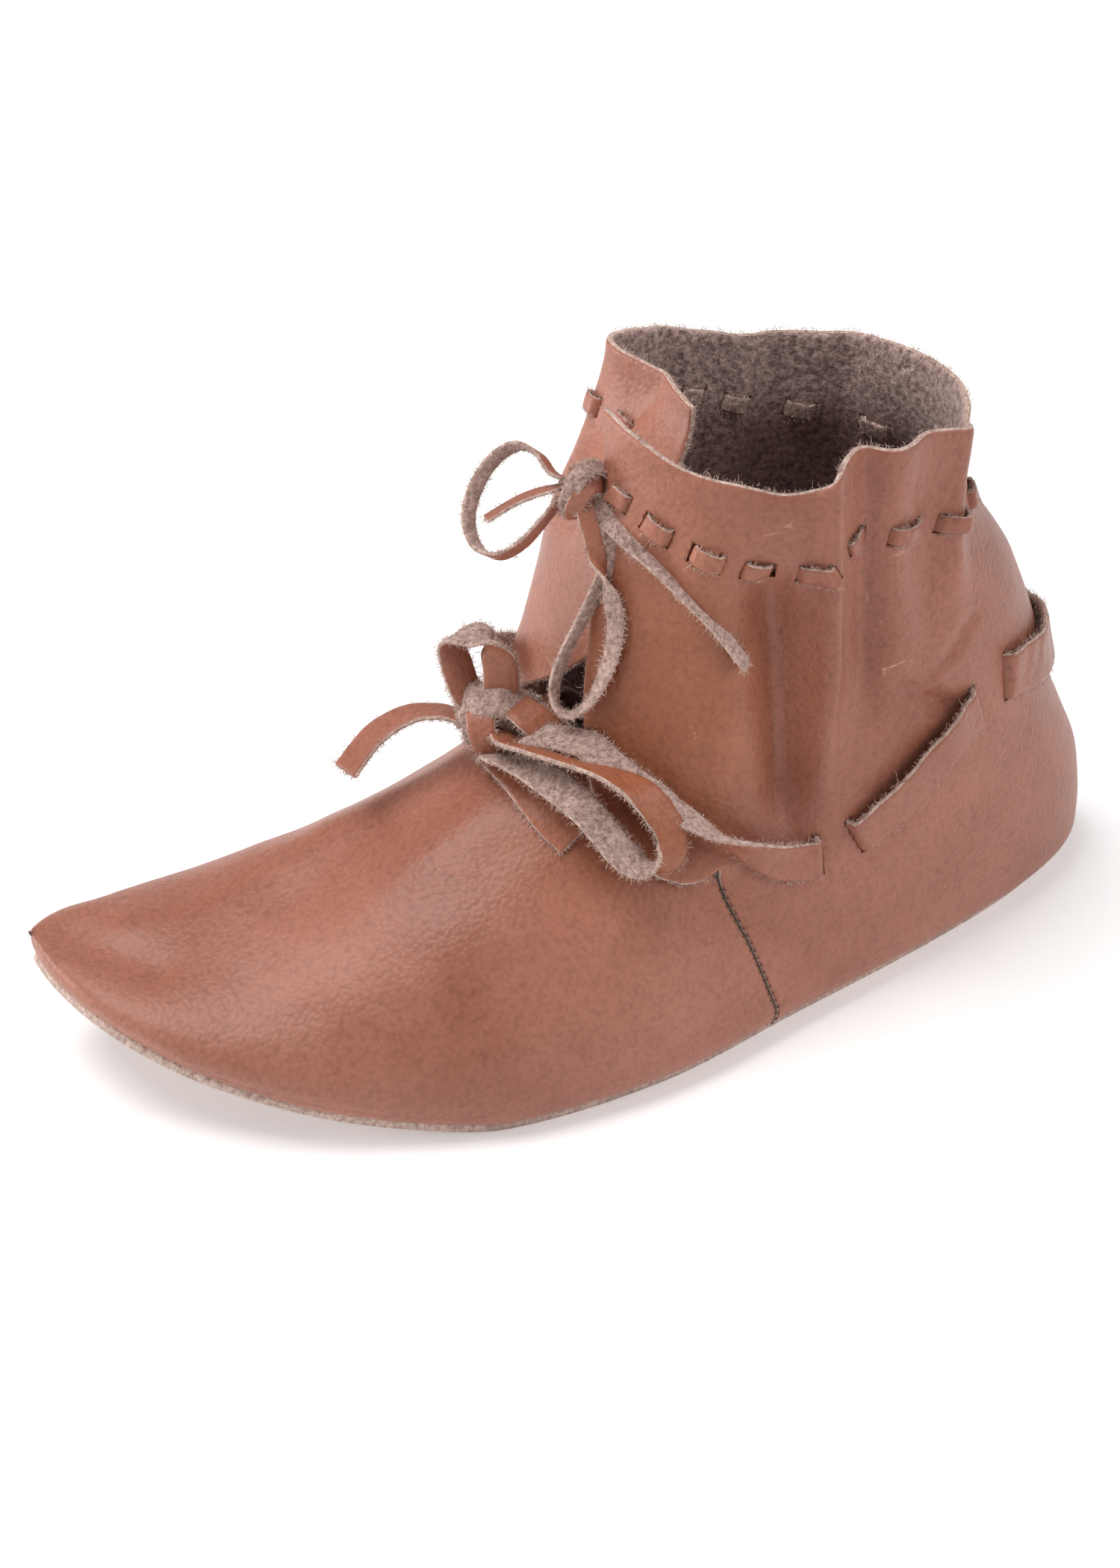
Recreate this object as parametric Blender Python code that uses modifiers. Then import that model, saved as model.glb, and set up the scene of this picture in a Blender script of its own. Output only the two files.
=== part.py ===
"""Soft leather ankle boot for the left foot.

A flat sole, one hollow upper whose flaps overlap at the front, a narrow thong threaded below the
collar and a wide strap threaded round the instep and heel, each tied in a bow.
The toe points along +X, the outer side along +Y, and the sole stands on z = 0.
"""
import bmesh
import bpy
import numpy as np
from mathutils import Matrix

# Driving dimensions, in metres
LENGTH = 0.285
BALL_WIDTH = 0.104
INSTEP_HEIGHT = 0.0784
COLLAR_HEIGHT = 0.152
HEEL_X = -0.140
WALL = 0.0020
SOLE_THICKNESS = 0.0035
GAP = 0.0005
TIP_WALL_SHARE = 0.4
SKIVE_LENGTH = 0.020

# The upper's lower edge rolls under towards the sole
EDGE_HEIGHT = 0.0018
ROLL = 0.0090
ROLL_ANGLE = np.radians(70)

# Seam between vamp and quarters, on both sides, and the height where it ends
SEAM_STATION = 0.4035
SEAM_TOP = 0.050
FLAP_START = 0.0525
FLAP_CLEARANCE = WALL + 0.0008

# Fullness of the sections: below 1 is squarer than an ellipse
VAMP_FULLNESS = 0.92

# The ring's far front is squarer than an ellipse, from SQUARE_FOOT up, and rounder again at the top
FAR_FRONT_POWER = 4.0
SQUARE_FOOT, SQUARE_HEAD = 0.050, 0.085
ROUND_FOOT, ROUND_HEAD = 0.125, 0.160
ROUND_SHARE = 0.55

# The far flap tucks in under the near one: directions in degrees, depths and heights in metres
TUCK_FROM, TUCK_TO = 309, 334
TUCK_LOW = 0.0034
TUCK_HIGH = 0.016
TUCK_FOOT, TUCK_HEAD = 0.116, 0.158

# Ankle thong and instep strap
THONG_WIDTH = 0.0045
THONG_THICKNESS = 0.0012
STRAP_THICKNESS = 0.0016
STRAP_END_WIDTH = 0.0090
LOOP_WIDTH = 0.0080
LACE_CLEARANCE = 0.0005
SLIT_CLEARANCE = 0.0008
SLIT_PLAY = 0.0009
SLIT_DEPTH = 0.0075
CROSSING_REACH = 0.0015
LACE_STEP = 6.0
STRAP_COLUMNS = 3
LOOP_STEPS = 22
END_STEPS = 10

# A point on the foot's own axis, inside the boot
AXIS_X = -0.010
AXIS_Z = 0.030

# Mesh steps
ROLL_STEPS = 3
SEAM_STEPS = 6
THROAT_STEPS = 8
VAMP_STEPS = 15
QUARTER_STEPS = 34
SHAFT_STEPS = 10
NEAR_FLAP_STEPS = 6
FAR_FLAP_STEPS = 12
SOLE_STEPS = 34
SOLE_ROWS = 6
KNOT_SEGMENTS = 12
KNOT_RINGS = 8
HEEL_SAMPLES = 120
CLEARANCE_REFINING = 4
VAMP_CROWDING = 1.5
WELD = 2e-5
HEIGHT_STEP = 0.0005
DIRECTION_STEP = 0.2

# Share of the vamp over which its sections bend to meet the seams, share of the widest line that the
# heel takes, and how near to the vamp a flap is pushed clear of it, fully and at all
SEAM_FADE = 0.4
HEEL_SHARE = 0.66
PUSH_FULL, PUSH_END = 0.002, 0.010


def turn(station):
    """Even parameter round heel and toe, 0 to 1, for a station given as a share of the length."""
    return np.arccos(np.clip(1 - 2 * np.asarray(station, float), -1, 1)) / np.pi


def len_key(first_column):
    """Key of a table whose rows simply follow each other."""
    return np.arange(len(first_column), dtype=float)


class Table:
    """Rows under named columns; a column is read with a smooth curve through its rows."""

    def __init__(self, columns, *rows, key=None):
        values = np.array(rows, float)
        self.column = {name: values[:, i] for i, name in enumerate(columns.split())}
        self.key = values[:, 0] if key is None else key(values[:, 0])

    def at(self, name, key):
        x, y = self.key, self.column[name]
        key = np.clip(np.asarray(key, float), x[0], x[-1])
        step = np.diff(x)
        slope = np.diff(y) / step
        tangent = np.empty_like(y)
        tangent[1:-1] = (slope[:-1] * step[1:] + slope[1:] * step[:-1]) / (step[:-1] + step[1:])
        tangent[0], tangent[-1] = slope[0], slope[-1]
        i = np.clip(np.searchsorted(x, key) - 1, 0, len(x) - 2)
        t = (key - x[i]) / step[i]
        return ((1 + 2 * t) * (1 - t) ** 2 * y[i] + t * (1 - t) ** 2 * step[i] * tangent[i]
                + t * t * (3 - 2 * t) * y[i + 1] + t * t * (t - 1) * step[i] * tangent[i + 1])


# Widest line of the foot: station and toe lift as shares of LENGTH, sides as shares of BALL_WIDTH,
# roll as a share of ROLL
OUTLINE = Table(
    "station outer inner lift roll",
    (0.000, 0.000, 0.000, 0.000, 0.90),
    (0.027, 0.161, -0.160, 0.000, 0.95),
    (0.086, 0.262, -0.258, 0.000, 1.00),
    (0.207, 0.372, -0.330, 0.000, 1.00),
    (0.362, 0.474, -0.330, 0.000, 1.00),
    (0.517, 0.572, -0.365, 0.000, 1.00),
    (0.672, 0.562, -0.425, 0.000, 0.80),
    (0.760, 0.490, -0.435, 0.018, 0.55),
    (0.830, 0.414, -0.420, 0.039, 0.42),
    (0.900, 0.286, -0.378, 0.061, 0.34),
    (0.960, 0.118, -0.318, 0.087, 0.30),
    (1.000, -0.216, -0.216, 0.103, 0.28),
    key=turn)

# Vamp sections from the throat to the toe tip: station at the widest line, then station, height
# (share of INSTEP_HEIGHT) and offset (share of BALL_WIDTH) of the ridge
VAMP = Table(
    "share floor ridge height offset",
    (0.00, SEAM_STATION, 0.530, 1.000, 0.020),
    (0.18, 0.490, 0.610, 0.880, 0.010),
    (0.36, 0.590, 0.700, 0.742, -0.020),
    (0.54, 0.700, 0.785, 0.600, -0.070),
    (0.72, 0.810, 0.865, 0.502, -0.130),
    (0.86, 0.905, 0.935, 0.480, -0.185),
    (0.95, 0.970, 0.980, 0.482, -0.212),
    (1.00, 1.000, 1.000, 0.478, -0.216))

# Rings of the quarters: height as a share of COLLAR_HEIGHT, centre, back and front as shares of
# LENGTH, sides as shares of BALL_WIDTH, and how far the ring has left the heel's own outline
RING = Table(
    "height centre back front outer inner leave",
    (0.070, 0.352, 0.352, 0.300, 0.440, 0.440, 0.00),
    (0.180, 0.352, 0.341, 0.300, 0.430, 0.425, 0.40),
    (0.300, 0.350, 0.317, 0.290, 0.420, 0.415, 0.80),
    (0.420, 0.346, 0.292, 0.255, 0.410, 0.410, 1.00),
    (0.540, 0.340, 0.266, 0.222, 0.400, 0.408, 1.00),
    (0.680, 0.332, 0.226, 0.205, 0.390, 0.405, 1.00),
    (0.830, 0.327, 0.170, 0.190, 0.382, 0.402, 1.00),
    (1.000, 0.323, 0.160, 0.165, 0.388, 0.400, 1.00),
    (1.100, 0.322, 0.164, 0.160, 0.394, 0.400, 1.00))

# Directions are in degrees round the ankle: 0 front, 90 outer side, 180 back, 270 inner side;
# the far flap runs on past 360 inside the near one
RIM = Table(
    "direction height",
    (-14, 1.030), (-8, 1.040), (4, 1.046), (16, 1.042), (30, 1.022), (51, 1.007), (64, 0.995),
    (72, 1.002), (80, 1.040), (99, 1.040), (119, 1.032), (146, 1.005), (180, 0.995), (210, 0.992),
    (232, 0.988), (256, 0.992), (284, 1.020), (308, 1.053), (330, 1.050), (383, 1.035))

# Heights in metres, directions in degrees
SEAM = Table("height direction", (0.010, 74), (0.031, 66), (0.050, 56), (0.075, 52), (0.160, 48))
NEAR_EDGE = Table(
    "height direction",
    (0.050, 33), (0.060, 28), (0.093, 14), (0.110, 11), (0.135, 5), (0.150, -2), (0.165, -12))
FAR_EDGE = Table(
    "height direction",
    (0.050, 352), (0.080, 362), (0.097, 372), (0.120, 380), (0.145, 371), (0.165, 361))

# Lower edges of the flaps, from the seam (0) to the front edge (1)
NEAR_HEM = Table(
    "share height",
    (0.0, FLAP_START), (0.3, 0.0505), (0.6, 0.0520), (0.86, 0.0570), (1.0, 0.0610))
FAR_HEM = Table(
    "share height",
    (0.0, FLAP_START), (0.25, 0.0575), (0.5, 0.0685), (0.76, 0.0830), (0.88, 0.0930), (1.0, 0.1090))

# Heights of the thong's row, and the directions where it goes through the upper
THONG_ROW = Table(
    "direction height",
    (0, 0.1436), (14, 0.1422), (29, 0.1378), (45, 0.1335), (62, 0.1295), (76, 0.1295), (90, 0.1345),
    (104, 0.1340), (129, 0.1300), (145, 0.1265), (180, 0.1250), (215, 0.1260), (250, 0.1300),
    (290, 0.1380), (326, 0.1440), (340, 0.1425), (352, 0.1420))
THONG_START = 8.0
THONG_END = 353.0
THONG_CROSSINGS = (14.5, 21, 29.5, 36.5, 45, 52, 62, 70.5, 80, 87, 95, 104, 119, 129, 145, 155, 166,
                   194, 205, 215, 231, 241, 256, 265, 273, 280, 289.5, 298, 306, 312.5, 319.5, 326,
                   332.5, 338.5)

# The strap's height and width and how much more than the common clearance it stands off the upper,
# from the front run to the back of the heel; the far side mirrors it
STRAP_ROW = Table(
    "direction height width off",
    (20.4, 0.0838, 0.0090, 0.0010), (33, 0.0755, 0.0090, 0.0012), (41, 0.0702, 0.0092, 0.0012),
    (53.6, 0.0630, 0.0094, 0.0010), (63, 0.0568, 0.0096, 0.0009), (75, 0.0508, 0.0098, 0.0006),
    (88, 0.0490, 0.0100, 0.0000), (101, 0.0518, 0.0115, 0.0000), (120, 0.0625, 0.0128, 0.0003),
    (142, 0.0747, 0.0136, 0.0000), (152, 0.0772, 0.0136, 0.0000), (166, 0.0732, 0.0146, 0.0005),
    (180, 0.0702, 0.0150, 0.0007))
STRAP_CROSSINGS = (88, 101, 142, 152)

# Knots: centre and half sizes; the instep knot tips forward with the vamp
ANKLE_KNOT = Table("x y z", (0.0080, 0.0010, 0.1425), (0.0045, 0.0045, 0.0075), key=len_key)
INSTEP_KNOT = Table("x y z", (0.0290, -0.0020, 0.0805), (0.0110, 0.0090, 0.0072), key=len_key)
INSTEP_KNOT_TILT = np.radians(22)

# Free runs of the strap between the flaps and its knot
STRAP_NEAR_RUN = Table("x y z", (0.0240, 0.0082, 0.0838), (0.0183, 0.0138, 0.0850), key=len_key)
STRAP_FAR_RUN = Table("x y z", (0.0190, -0.0205, 0.0870), (0.0245, -0.0145, 0.0855), key=len_key)

# Bow of the thong, points along each loop and end
ANKLE_LOOP_FRONT = Table(
    "x y z",
    (0.0125, -0.0018, 0.1466), (0.0140, -0.0065, 0.1495), (0.0180, -0.0110, 0.1503),
    (0.0250, -0.0120, 0.1455), (0.0310, -0.0090, 0.1370), (0.0315, -0.0040, 0.1305),
    (0.0275, 0.0000, 0.1285), (0.0215, 0.0010, 0.1310), (0.0160, 0.0010, 0.1360),
    (0.0132, 0.0010, 0.1390), key=len_key)
ANKLE_END_SHORT = Table(
    "x y z",
    (0.0132, -0.0008, 0.1427), (0.0170, -0.0032, 0.1412), (0.0210, -0.0046, 0.1393),
    (0.0285, -0.0048, 0.1363), key=len_key)
ANKLE_LOOP_HANGING = Table(
    "x y z",
    (0.0100, 0.0055, 0.1360), (0.0100, 0.0090, 0.1320), (0.0092, 0.0156, 0.1235),
    (0.0088, 0.0200, 0.1145), (0.0112, 0.0221, 0.1030), (0.0150, 0.0212, 0.0955),
    (0.0195, 0.0170, 0.0918), (0.0215, 0.0110, 0.0930), (0.0203, 0.0070, 0.0975),
    (0.0165, 0.0058, 0.1060), (0.0137, 0.0060, 0.1165), (0.0122, 0.0045, 0.1265),
    (0.0112, 0.0015, 0.1335), key=len_key)
ANKLE_END_LONG = Table(
    "x y z",
    (0.0098, 0.0068, 0.1415), (0.0058, 0.0124, 0.1388), (-0.0002, 0.0222, 0.1330),
    (-0.0069, 0.0305, 0.1245), (-0.0132, 0.0353, 0.1150), (-0.0197, 0.0388, 0.1050), key=len_key)

# Bow of the strap
INSTEP_LOOP_UPRIGHT = Table(
    "x y z",
    (0.0347, -0.0070, 0.0898), (0.0352, -0.0082, 0.0925), (0.0358, -0.0097, 0.0963),
    (0.0359, -0.0106, 0.0993), (0.0351, -0.0103, 0.1016), (0.0333, -0.0084, 0.1030),
    (0.0313, -0.0061, 0.1036), (0.0297, -0.0041, 0.1034), (0.0288, -0.0026, 0.1021),
    (0.0280, -0.0014, 0.0997), (0.0273, -0.0004, 0.0964), (0.0274, -0.0002, 0.0914), key=len_key)
INSTEP_END_LEFT = Table(
    "x y z",
    (0.0418, -0.0110, 0.0812), (0.0472, -0.0135, 0.0799), (0.0560, -0.0142, 0.0758),
    (0.0648, -0.0115, 0.0692), key=len_key)
INSTEP_LOOP_RIGHT = Table(
    "x y z",
    (0.0302, 0.0108, 0.0820), (0.0262, 0.0180, 0.0832), (0.0216, 0.0246, 0.0836),
    (0.0146, 0.0328, 0.0830), (0.0083, 0.0384, 0.0796), (0.0040, 0.0420, 0.0732),
    (0.0022, 0.0446, 0.0675), (0.0050, 0.0466, 0.0634), (0.0108, 0.0458, 0.0632),
    (0.0152, 0.0434, 0.0666), (0.0182, 0.0390, 0.0714), (0.0212, 0.0332, 0.0757),
    (0.0246, 0.0256, 0.0780), (0.0284, 0.0164, 0.0786), (0.0320, 0.0104, 0.0776), key=len_key)
INSTEP_END_RIGHT = Table(
    "x y z",
    (0.0288, 0.0075, 0.0722), (0.0276, 0.0151, 0.0708), (0.0261, 0.0239, 0.0681),
    (0.0225, 0.0317, 0.0642), key=len_key)

# Width directions of the free laces, chosen so that each lies as its loop or end lies in the bow
OUTWARD = (0.33, 0.74, 0.59)
OFF_FLAP = (0.80, 0.50, 0.25)
DOWN_FLAP = (0.50, 0.15, -0.80)
ACROSS_UPRIGHT = (0.89, 0.27, -0.17)
ACROSS_RIGHT = (0.85, 0.05, 0.35)
ACROSS_LEFT = (0.10, 0.95, 0.05)
DOWN_VAMP = (0.83, 0.24, -0.40)


def stack(*columns):
    return np.stack(np.broadcast_arrays(*columns), axis=-1)


def ease(value, low, high):
    """0 below low, 1 above high, smooth between."""
    t = np.clip((value - low) / (high - low), 0, 1)
    return t * t * (3 - 2 * t)


def outline(u, side):
    """Widest line in plan; side is +1 on the outer and -1 on the inner edge."""
    x = HEEL_X + LENGTH * (1 - np.cos(np.pi * u)) / 2
    share = np.where(side > 0, OUTLINE.at("outer", u), OUTLINE.at("inner", u))
    return stack(x, BALL_WIDTH * share)


def outline_normal(u, side):
    """Outward direction of the widest line in plan."""
    step = 1e-3
    along = outline(np.minimum(u + step, 1), side) - outline(np.maximum(u - step, 0), side)
    along /= np.linalg.norm(along, axis=-1, keepdims=True)
    normal = stack(-along[..., 1] * side, along[..., 0] * side)
    heel, tip = (u < step)[..., None], (u > 1 - step)[..., None]
    return np.where(heel, (-1.0, 0.0), np.where(tip, (1.0, 0.0), normal))


def lift(x):
    return LENGTH * np.maximum(OUTLINE.at("lift", turn((x - HEEL_X) / LENGTH)), 0)


def rolled(u, side, angle):
    """Lower edge of the upper; angle 0 is at the widest line, ROLL_ANGLE at the sole."""
    radius = ROLL * OUTLINE.at("roll", u)
    plan = outline(u, side) - outline_normal(u, side) * (radius * (1 - np.cos(angle)))[..., None]
    height = lift(plan[..., 0]) + EDGE_HEIGHT + radius * (1 - np.sin(angle))
    return stack(plan[..., 0], plan[..., 1], height)


def arch(share, angle):
    """Vamp section; angle 0 at the outer widest line, 90 degrees at the ridge, 180 at the inner one."""
    u = turn(VAMP.at("floor", share))
    foot = rolled(u, np.where(angle <= np.pi / 2, 1, -1), np.zeros_like(u))
    ridge = stack(HEEL_X + LENGTH * VAMP.at("ridge", share), BALL_WIDTH * VAMP.at("offset", share),
                  INSTEP_HEIGHT * VAMP.at("height", share))
    rise = np.sin(angle) ** VAMP_FULLNESS
    spread = np.abs(np.cos(angle)) ** VAMP_FULLNESS
    return stack(foot[..., 0] + (ridge[..., 0] - foot[..., 0]) * rise,
                 ridge[..., 1] + (foot[..., 1] - ridge[..., 1]) * spread,
                 foot[..., 2] + (ridge[..., 2] - foot[..., 2]) * rise)


def heel_line():
    """Heel part of the widest line seen from the heel's centre: direction, distance and parameter."""
    half = np.linspace(0, HEEL_SHARE, HEEL_SAMPLES)
    u = np.concatenate([half[::-1], half[1:]])
    side = np.concatenate([np.ones(len(half)), -np.ones(len(half) - 1)])
    plan = outline(u, side) - (HEEL_X + LENGTH * RING.column["centre"][0], 0)
    direction = np.degrees(np.arctan2(plan[:, 1], plan[:, 0])) % 360
    return direction, np.hypot(plan[:, 0], plan[:, 1]), u


HEEL_DIRECTION, HEEL_DISTANCE, HEEL_U = heel_line()


def tuck(height, direction):
    """How far the far flap lies inside the ring, more towards its front end and its top."""
    near_front = ease(direction, TUCK_FROM, TUCK_TO)
    return near_front * (TUCK_LOW + TUCK_HIGH * ease(height, TUCK_FOOT, TUCK_HEAD))


def shaft(height, direction):
    """Outer surface of the quarters at a height and a direction."""
    height, direction = np.broadcast_arrays(np.asarray(height, float), np.asarray(direction, float))
    share = height / COLLAR_HEIGHT
    cosine, sine = np.cos(np.radians(direction)), np.sin(np.radians(direction))
    along = LENGTH * np.where(cosine > 0, RING.at("front", share), RING.at("back", share))
    across = BALL_WIDTH * np.where(sine > 0, RING.at("outer", share), RING.at("inner", share))
    far_front = (cosine > 0) & (sine < 0)
    square = ease(height, SQUARE_FOOT, SQUARE_HEAD) - ROUND_SHARE * ease(height, ROUND_FOOT, ROUND_HEAD)
    power = np.where(far_front, 2 + (FAR_FRONT_POWER - 2) * square, 2.0)
    ring = (np.abs(cosine / along) ** power + np.abs(sine / across) ** power) ** (-1 / power)
    heel = np.interp(direction % 360, HEEL_DIRECTION, HEEL_DISTANCE)
    distance = heel + (ring - heel) * RING.at("leave", share) - tuck(height, direction)
    centre = HEEL_X + LENGTH * RING.at("centre", share)
    return stack(centre + distance * cosine, distance * sine, height)


def rim(direction):
    return COLLAR_HEIGHT * RIM.at("height", direction)


def surface_normal(surface, a, b, step_a, step_b):
    """Unit normal of a two-parameter surface, by small differences."""
    along_a = surface(a + step_a, b) - surface(a - step_a, b)
    along_b = surface(a, b + step_b) - surface(a, b - step_b)
    normal = np.cross(along_a, along_b)
    return normal / np.linalg.norm(normal, axis=-1, keepdims=True)


def shaft_normal(height, direction):
    """Outward unit normal of the quarters."""
    height, direction = np.asarray(height, float), np.asarray(direction, float)
    return -surface_normal(shaft, height, direction, HEIGHT_STEP, DIRECTION_STEP)


def shaft_rows(directions, hem):
    """Rows of the quarters from a lower edge, one height per column, up to the rim."""
    top = rim(directions(COLLAR_HEIGHT))
    height = hem + (top - hem) * np.linspace(0, 1, SHAFT_STEPS + 1)[:, None]
    return shaft(height, directions(height))


def quarter_grid():
    """Heel part between the seams; rows from the sole edge to the rim, columns from near to far."""
    share = np.linspace(0, 1, QUARTER_STEPS + 1)

    def directions(height):
        start = SEAM.at("direction", height)
        return start + (360 - 2 * start) * share

    heights = np.linspace(EDGE_HEIGHT + ROLL, SEAM_TOP, SEAM_STEPS + 1)[:, None]
    low = directions(heights[0])
    u = np.interp(low, HEEL_DIRECTION, HEEL_U)
    side = np.where(low < 180, 1, -1)
    roll_rows = [rolled(u, side, angle) for angle in np.linspace(ROLL_ANGLE, 0, ROLL_STEPS + 1)]
    seam_rows = shaft(heights[1:], directions(heights[1:]))
    upper_rows = shaft_rows(directions, np.full(share.shape, FLAP_START))
    return np.concatenate([roll_rows, seam_rows, upper_rows])


def flap_grid(edge, hem, start_of, steps):
    """Free front part of one quarter, from its seam column to its front edge."""
    share = np.linspace(0, 1, steps + 1)

    def directions(height):
        start = start_of(SEAM.at("direction", height))
        return start + (edge.at("direction", height) - start) * share

    return shaft_rows(directions, hem.at("height", share))


def vamp_shares():
    """Places of the vamp's sections, closer together towards the toe tip."""
    return 1 - np.linspace(1, 0, VAMP_STEPS + 1) ** VAMP_CROWDING


def vamp_grid(near_side, far_side):
    """Front part; a row for each section, from the outer sole edge over the ridge to the inner one.

    The sections next to the throat move so that the first one meets the quarters along both seams.
    """
    heights = np.linspace(EDGE_HEIGHT + ROLL, SEAM_TOP, SEAM_STEPS + 1)
    rise = (heights - heights[0]) / (INSTEP_HEIGHT - heights[0])
    seam_angles = np.arcsin(rise ** (1 / VAMP_FULLNESS))
    throat_angles = np.linspace(seam_angles[-1], np.pi / 2, THROAT_STEPS + 1)[1:]
    outer = np.concatenate([seam_angles, throat_angles])
    angles = np.concatenate([outer, np.pi - outer[-2::-1]])
    rolls = np.linspace(ROLL_ANGLE, 0, ROLL_STEPS + 1)[:-1]
    sections = []
    shares = vamp_shares()
    for share in shares:
        u = np.full(rolls.shape, turn(VAMP.at("floor", share)))
        near_roll = rolled(u, np.ones(rolls.shape), rolls)
        far_roll = rolled(u, -np.ones(rolls.shape), rolls)[::-1]
        over = arch(np.full(angles.shape, share), angles)
        sections.append(np.concatenate([near_roll, over, far_roll]))
    grid = np.array(sections)
    count = len(near_side)
    move = np.zeros_like(grid[0])
    move[:count] = near_side - grid[0, :count]
    move[-count:] = far_side[::-1] - grid[0, -count:]
    throat = np.linspace(0, 1, len(move) - 2 * count + 2)[1:-1, None]
    near_move, far_move = move[count - 1], move[-count]
    move[count:-count] = near_move * (1 - ease(throat, 0, 0.5)) + far_move * ease(throat, 0.5, 1)
    fade = 1 - ease(shares, 0, SEAM_FADE)
    return grid + fade[:, None, None] * move


def refine(grid, times):
    """The same faceted surface with more points."""
    for axis in (0, 1):
        old = np.arange(grid.shape[axis])
        new = np.linspace(0, old[-1], old[-1] * times + 1)
        low = np.clip(new.astype(int), 0, old[-1] - 1)
        shape = [1, 1, 1]
        shape[axis] = len(new)
        part = (new - low).reshape(shape)
        grid = np.take(grid, low, axis) * (1 - part) + np.take(grid, low + 1, axis) * part
    return grid


class Clearance:
    """Moves points outwards until they lie clear of the vamp."""

    def __init__(self, grid):
        fine = refine(grid, CLEARANCE_REFINING)
        fine = fine[: len(fine) // 2]
        normal = np.cross(np.gradient(fine, axis=1), np.gradient(fine, axis=0))
        normal /= np.linalg.norm(normal, axis=-1, keepdims=True)
        self.points, self.normals = fine.reshape(-1, 3), normal.reshape(-1, 3)

    def __call__(self, points):
        flat = points.reshape(-1, 3)
        nearest = np.array([np.argmin(((self.points - p) ** 2).sum(1)) for p in flat])
        offset, normal = flat - self.points[nearest], self.normals[nearest]
        above = (offset * normal).sum(1)
        beside = np.linalg.norm(offset - normal * above[:, None], axis=1)
        push = np.maximum(FLAP_CLEARANCE - above, 0) * (1 - ease(beside, PUSH_FULL, PUSH_END))
        return (flat + normal * push[:, None]).reshape(points.shape)


class UpperSurface:
    """Grids of the upper, and places on its outer face."""

    def __init__(self):
        quarter = quarter_grid()
        side = ROLL_STEPS + 1 + SEAM_STEPS
        vamp = vamp_grid(quarter[:side, 0], quarter[:side, -1])
        self.clear = Clearance(vamp)
        near = flap_grid(NEAR_EDGE, NEAR_HEM, lambda start: start, NEAR_FLAP_STEPS)
        far = flap_grid(FAR_EDGE, FAR_HEM, lambda start: 360 - start, FAR_FLAP_STEPS)
        quarter[side:] = self.clear(quarter[side:])
        self.grids = [vamp, quarter, self.clear(near), self.clear(far)]

    def place(self, height, direction):
        return self.clear(shaft(height, direction))


def new_object(name, mesh, material, collection):
    mesh.materials.append(material)
    obj = bpy.data.objects.new(name, mesh)
    collection.objects.link(obj)
    return obj


def grid_mesh(name, grids, outward):
    """One welded mesh from grids of points; outward tells whether a normal at a point faces out."""
    shape = bmesh.new()
    for grid in grids:
        rows = [[shape.verts.new(point) for point in row] for row in grid]
        for low, high in zip(rows, rows[1:]):
            for a, b, c, d in zip(low, low[1:], high[1:], high):
                shape.faces.new((a, b, c, d))
    bmesh.ops.remove_doubles(shape, verts=shape.verts, dist=WELD)
    bmesh.ops.dissolve_degenerate(shape, edges=shape.edges, dist=WELD)
    bmesh.ops.recalc_face_normals(shape, faces=shape.faces)
    facing = [outward(face.calc_center_median(), face.normal) * face.calc_area() for face in shape.faces]
    if sum(facing) < 0:
        bmesh.ops.reverse_faces(shape, faces=shape.faces)
    mesh = bpy.data.meshes.new(name)
    shape.to_mesh(mesh)
    shape.free()
    mesh.shade_smooth()
    return mesh


def thicken(obj, thickness, offset):
    solid = obj.modifiers.new("thickness", "SOLIDIFY")
    solid.thickness = thickness
    solid.offset = offset
    return solid


def skive_toe(upper, solid):
    """Thin the leather towards the toe tip, where the two sides meet."""
    group = upper.vertex_groups.new(name="wall")
    for vertex in upper.data.vertices:
        behind_tip = HEEL_X + LENGTH - vertex.co.x
        share = TIP_WALL_SHARE + (1 - TIP_WALL_SHARE) * float(ease(behind_tip, 0, SKIVE_LENGTH))
        group.add([vertex.index], share, "REPLACE")
    solid.vertex_group = group.name


def make_upper(surface, slits, material, collection):
    def outward(centre, normal):
        return normal.x * (centre.x - AXIS_X) + normal.y * centre.y + normal.z * (centre.z - AXIS_Z)

    upper = new_object("upper", grid_mesh("upper", surface.grids, outward), material, collection)
    solid = thicken(upper, WALL, -1)
    skive_toe(upper, solid)
    cut = upper.modifiers.new("slits", "BOOLEAN")
    cut.operation = "DIFFERENCE"
    cut.object = slits
    cut.use_self = True
    return upper


def make_sole(material, collection):
    """Plate inside the rolled edge of the upper, bent up at the toe."""
    u = np.linspace(0, 1, SOLE_STEPS + 1)
    last_strip = ROLL_ANGLE * (1 - 0.5 / ROLL_STEPS)
    edges = []
    radius = ROLL * OUTLINE.at("roll", u)
    inset = radius * (1 - np.cos(ROLL_ANGLE)) + WALL * np.cos(last_strip) + GAP
    for side in (1, -1):
        sides = np.full(u.shape, side)
        edges.append(outline(u, sides) - outline_normal(u, sides) * inset[:, None])
    across = np.linspace(0, 1, SOLE_ROWS + 1)[None, :, None]
    plan = edges[0][:, None] * (1 - across) + edges[1][:, None] * across
    top = stack(plan[..., 0], plan[..., 1], lift(plan[..., 0]) + SOLE_THICKNESS)
    mesh = grid_mesh("sole", [top], lambda centre, normal: normal.z)
    sole = new_object("sole", mesh, material, collection)
    thicken(sole, SOLE_THICKNESS, -1)
    return sole


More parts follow.
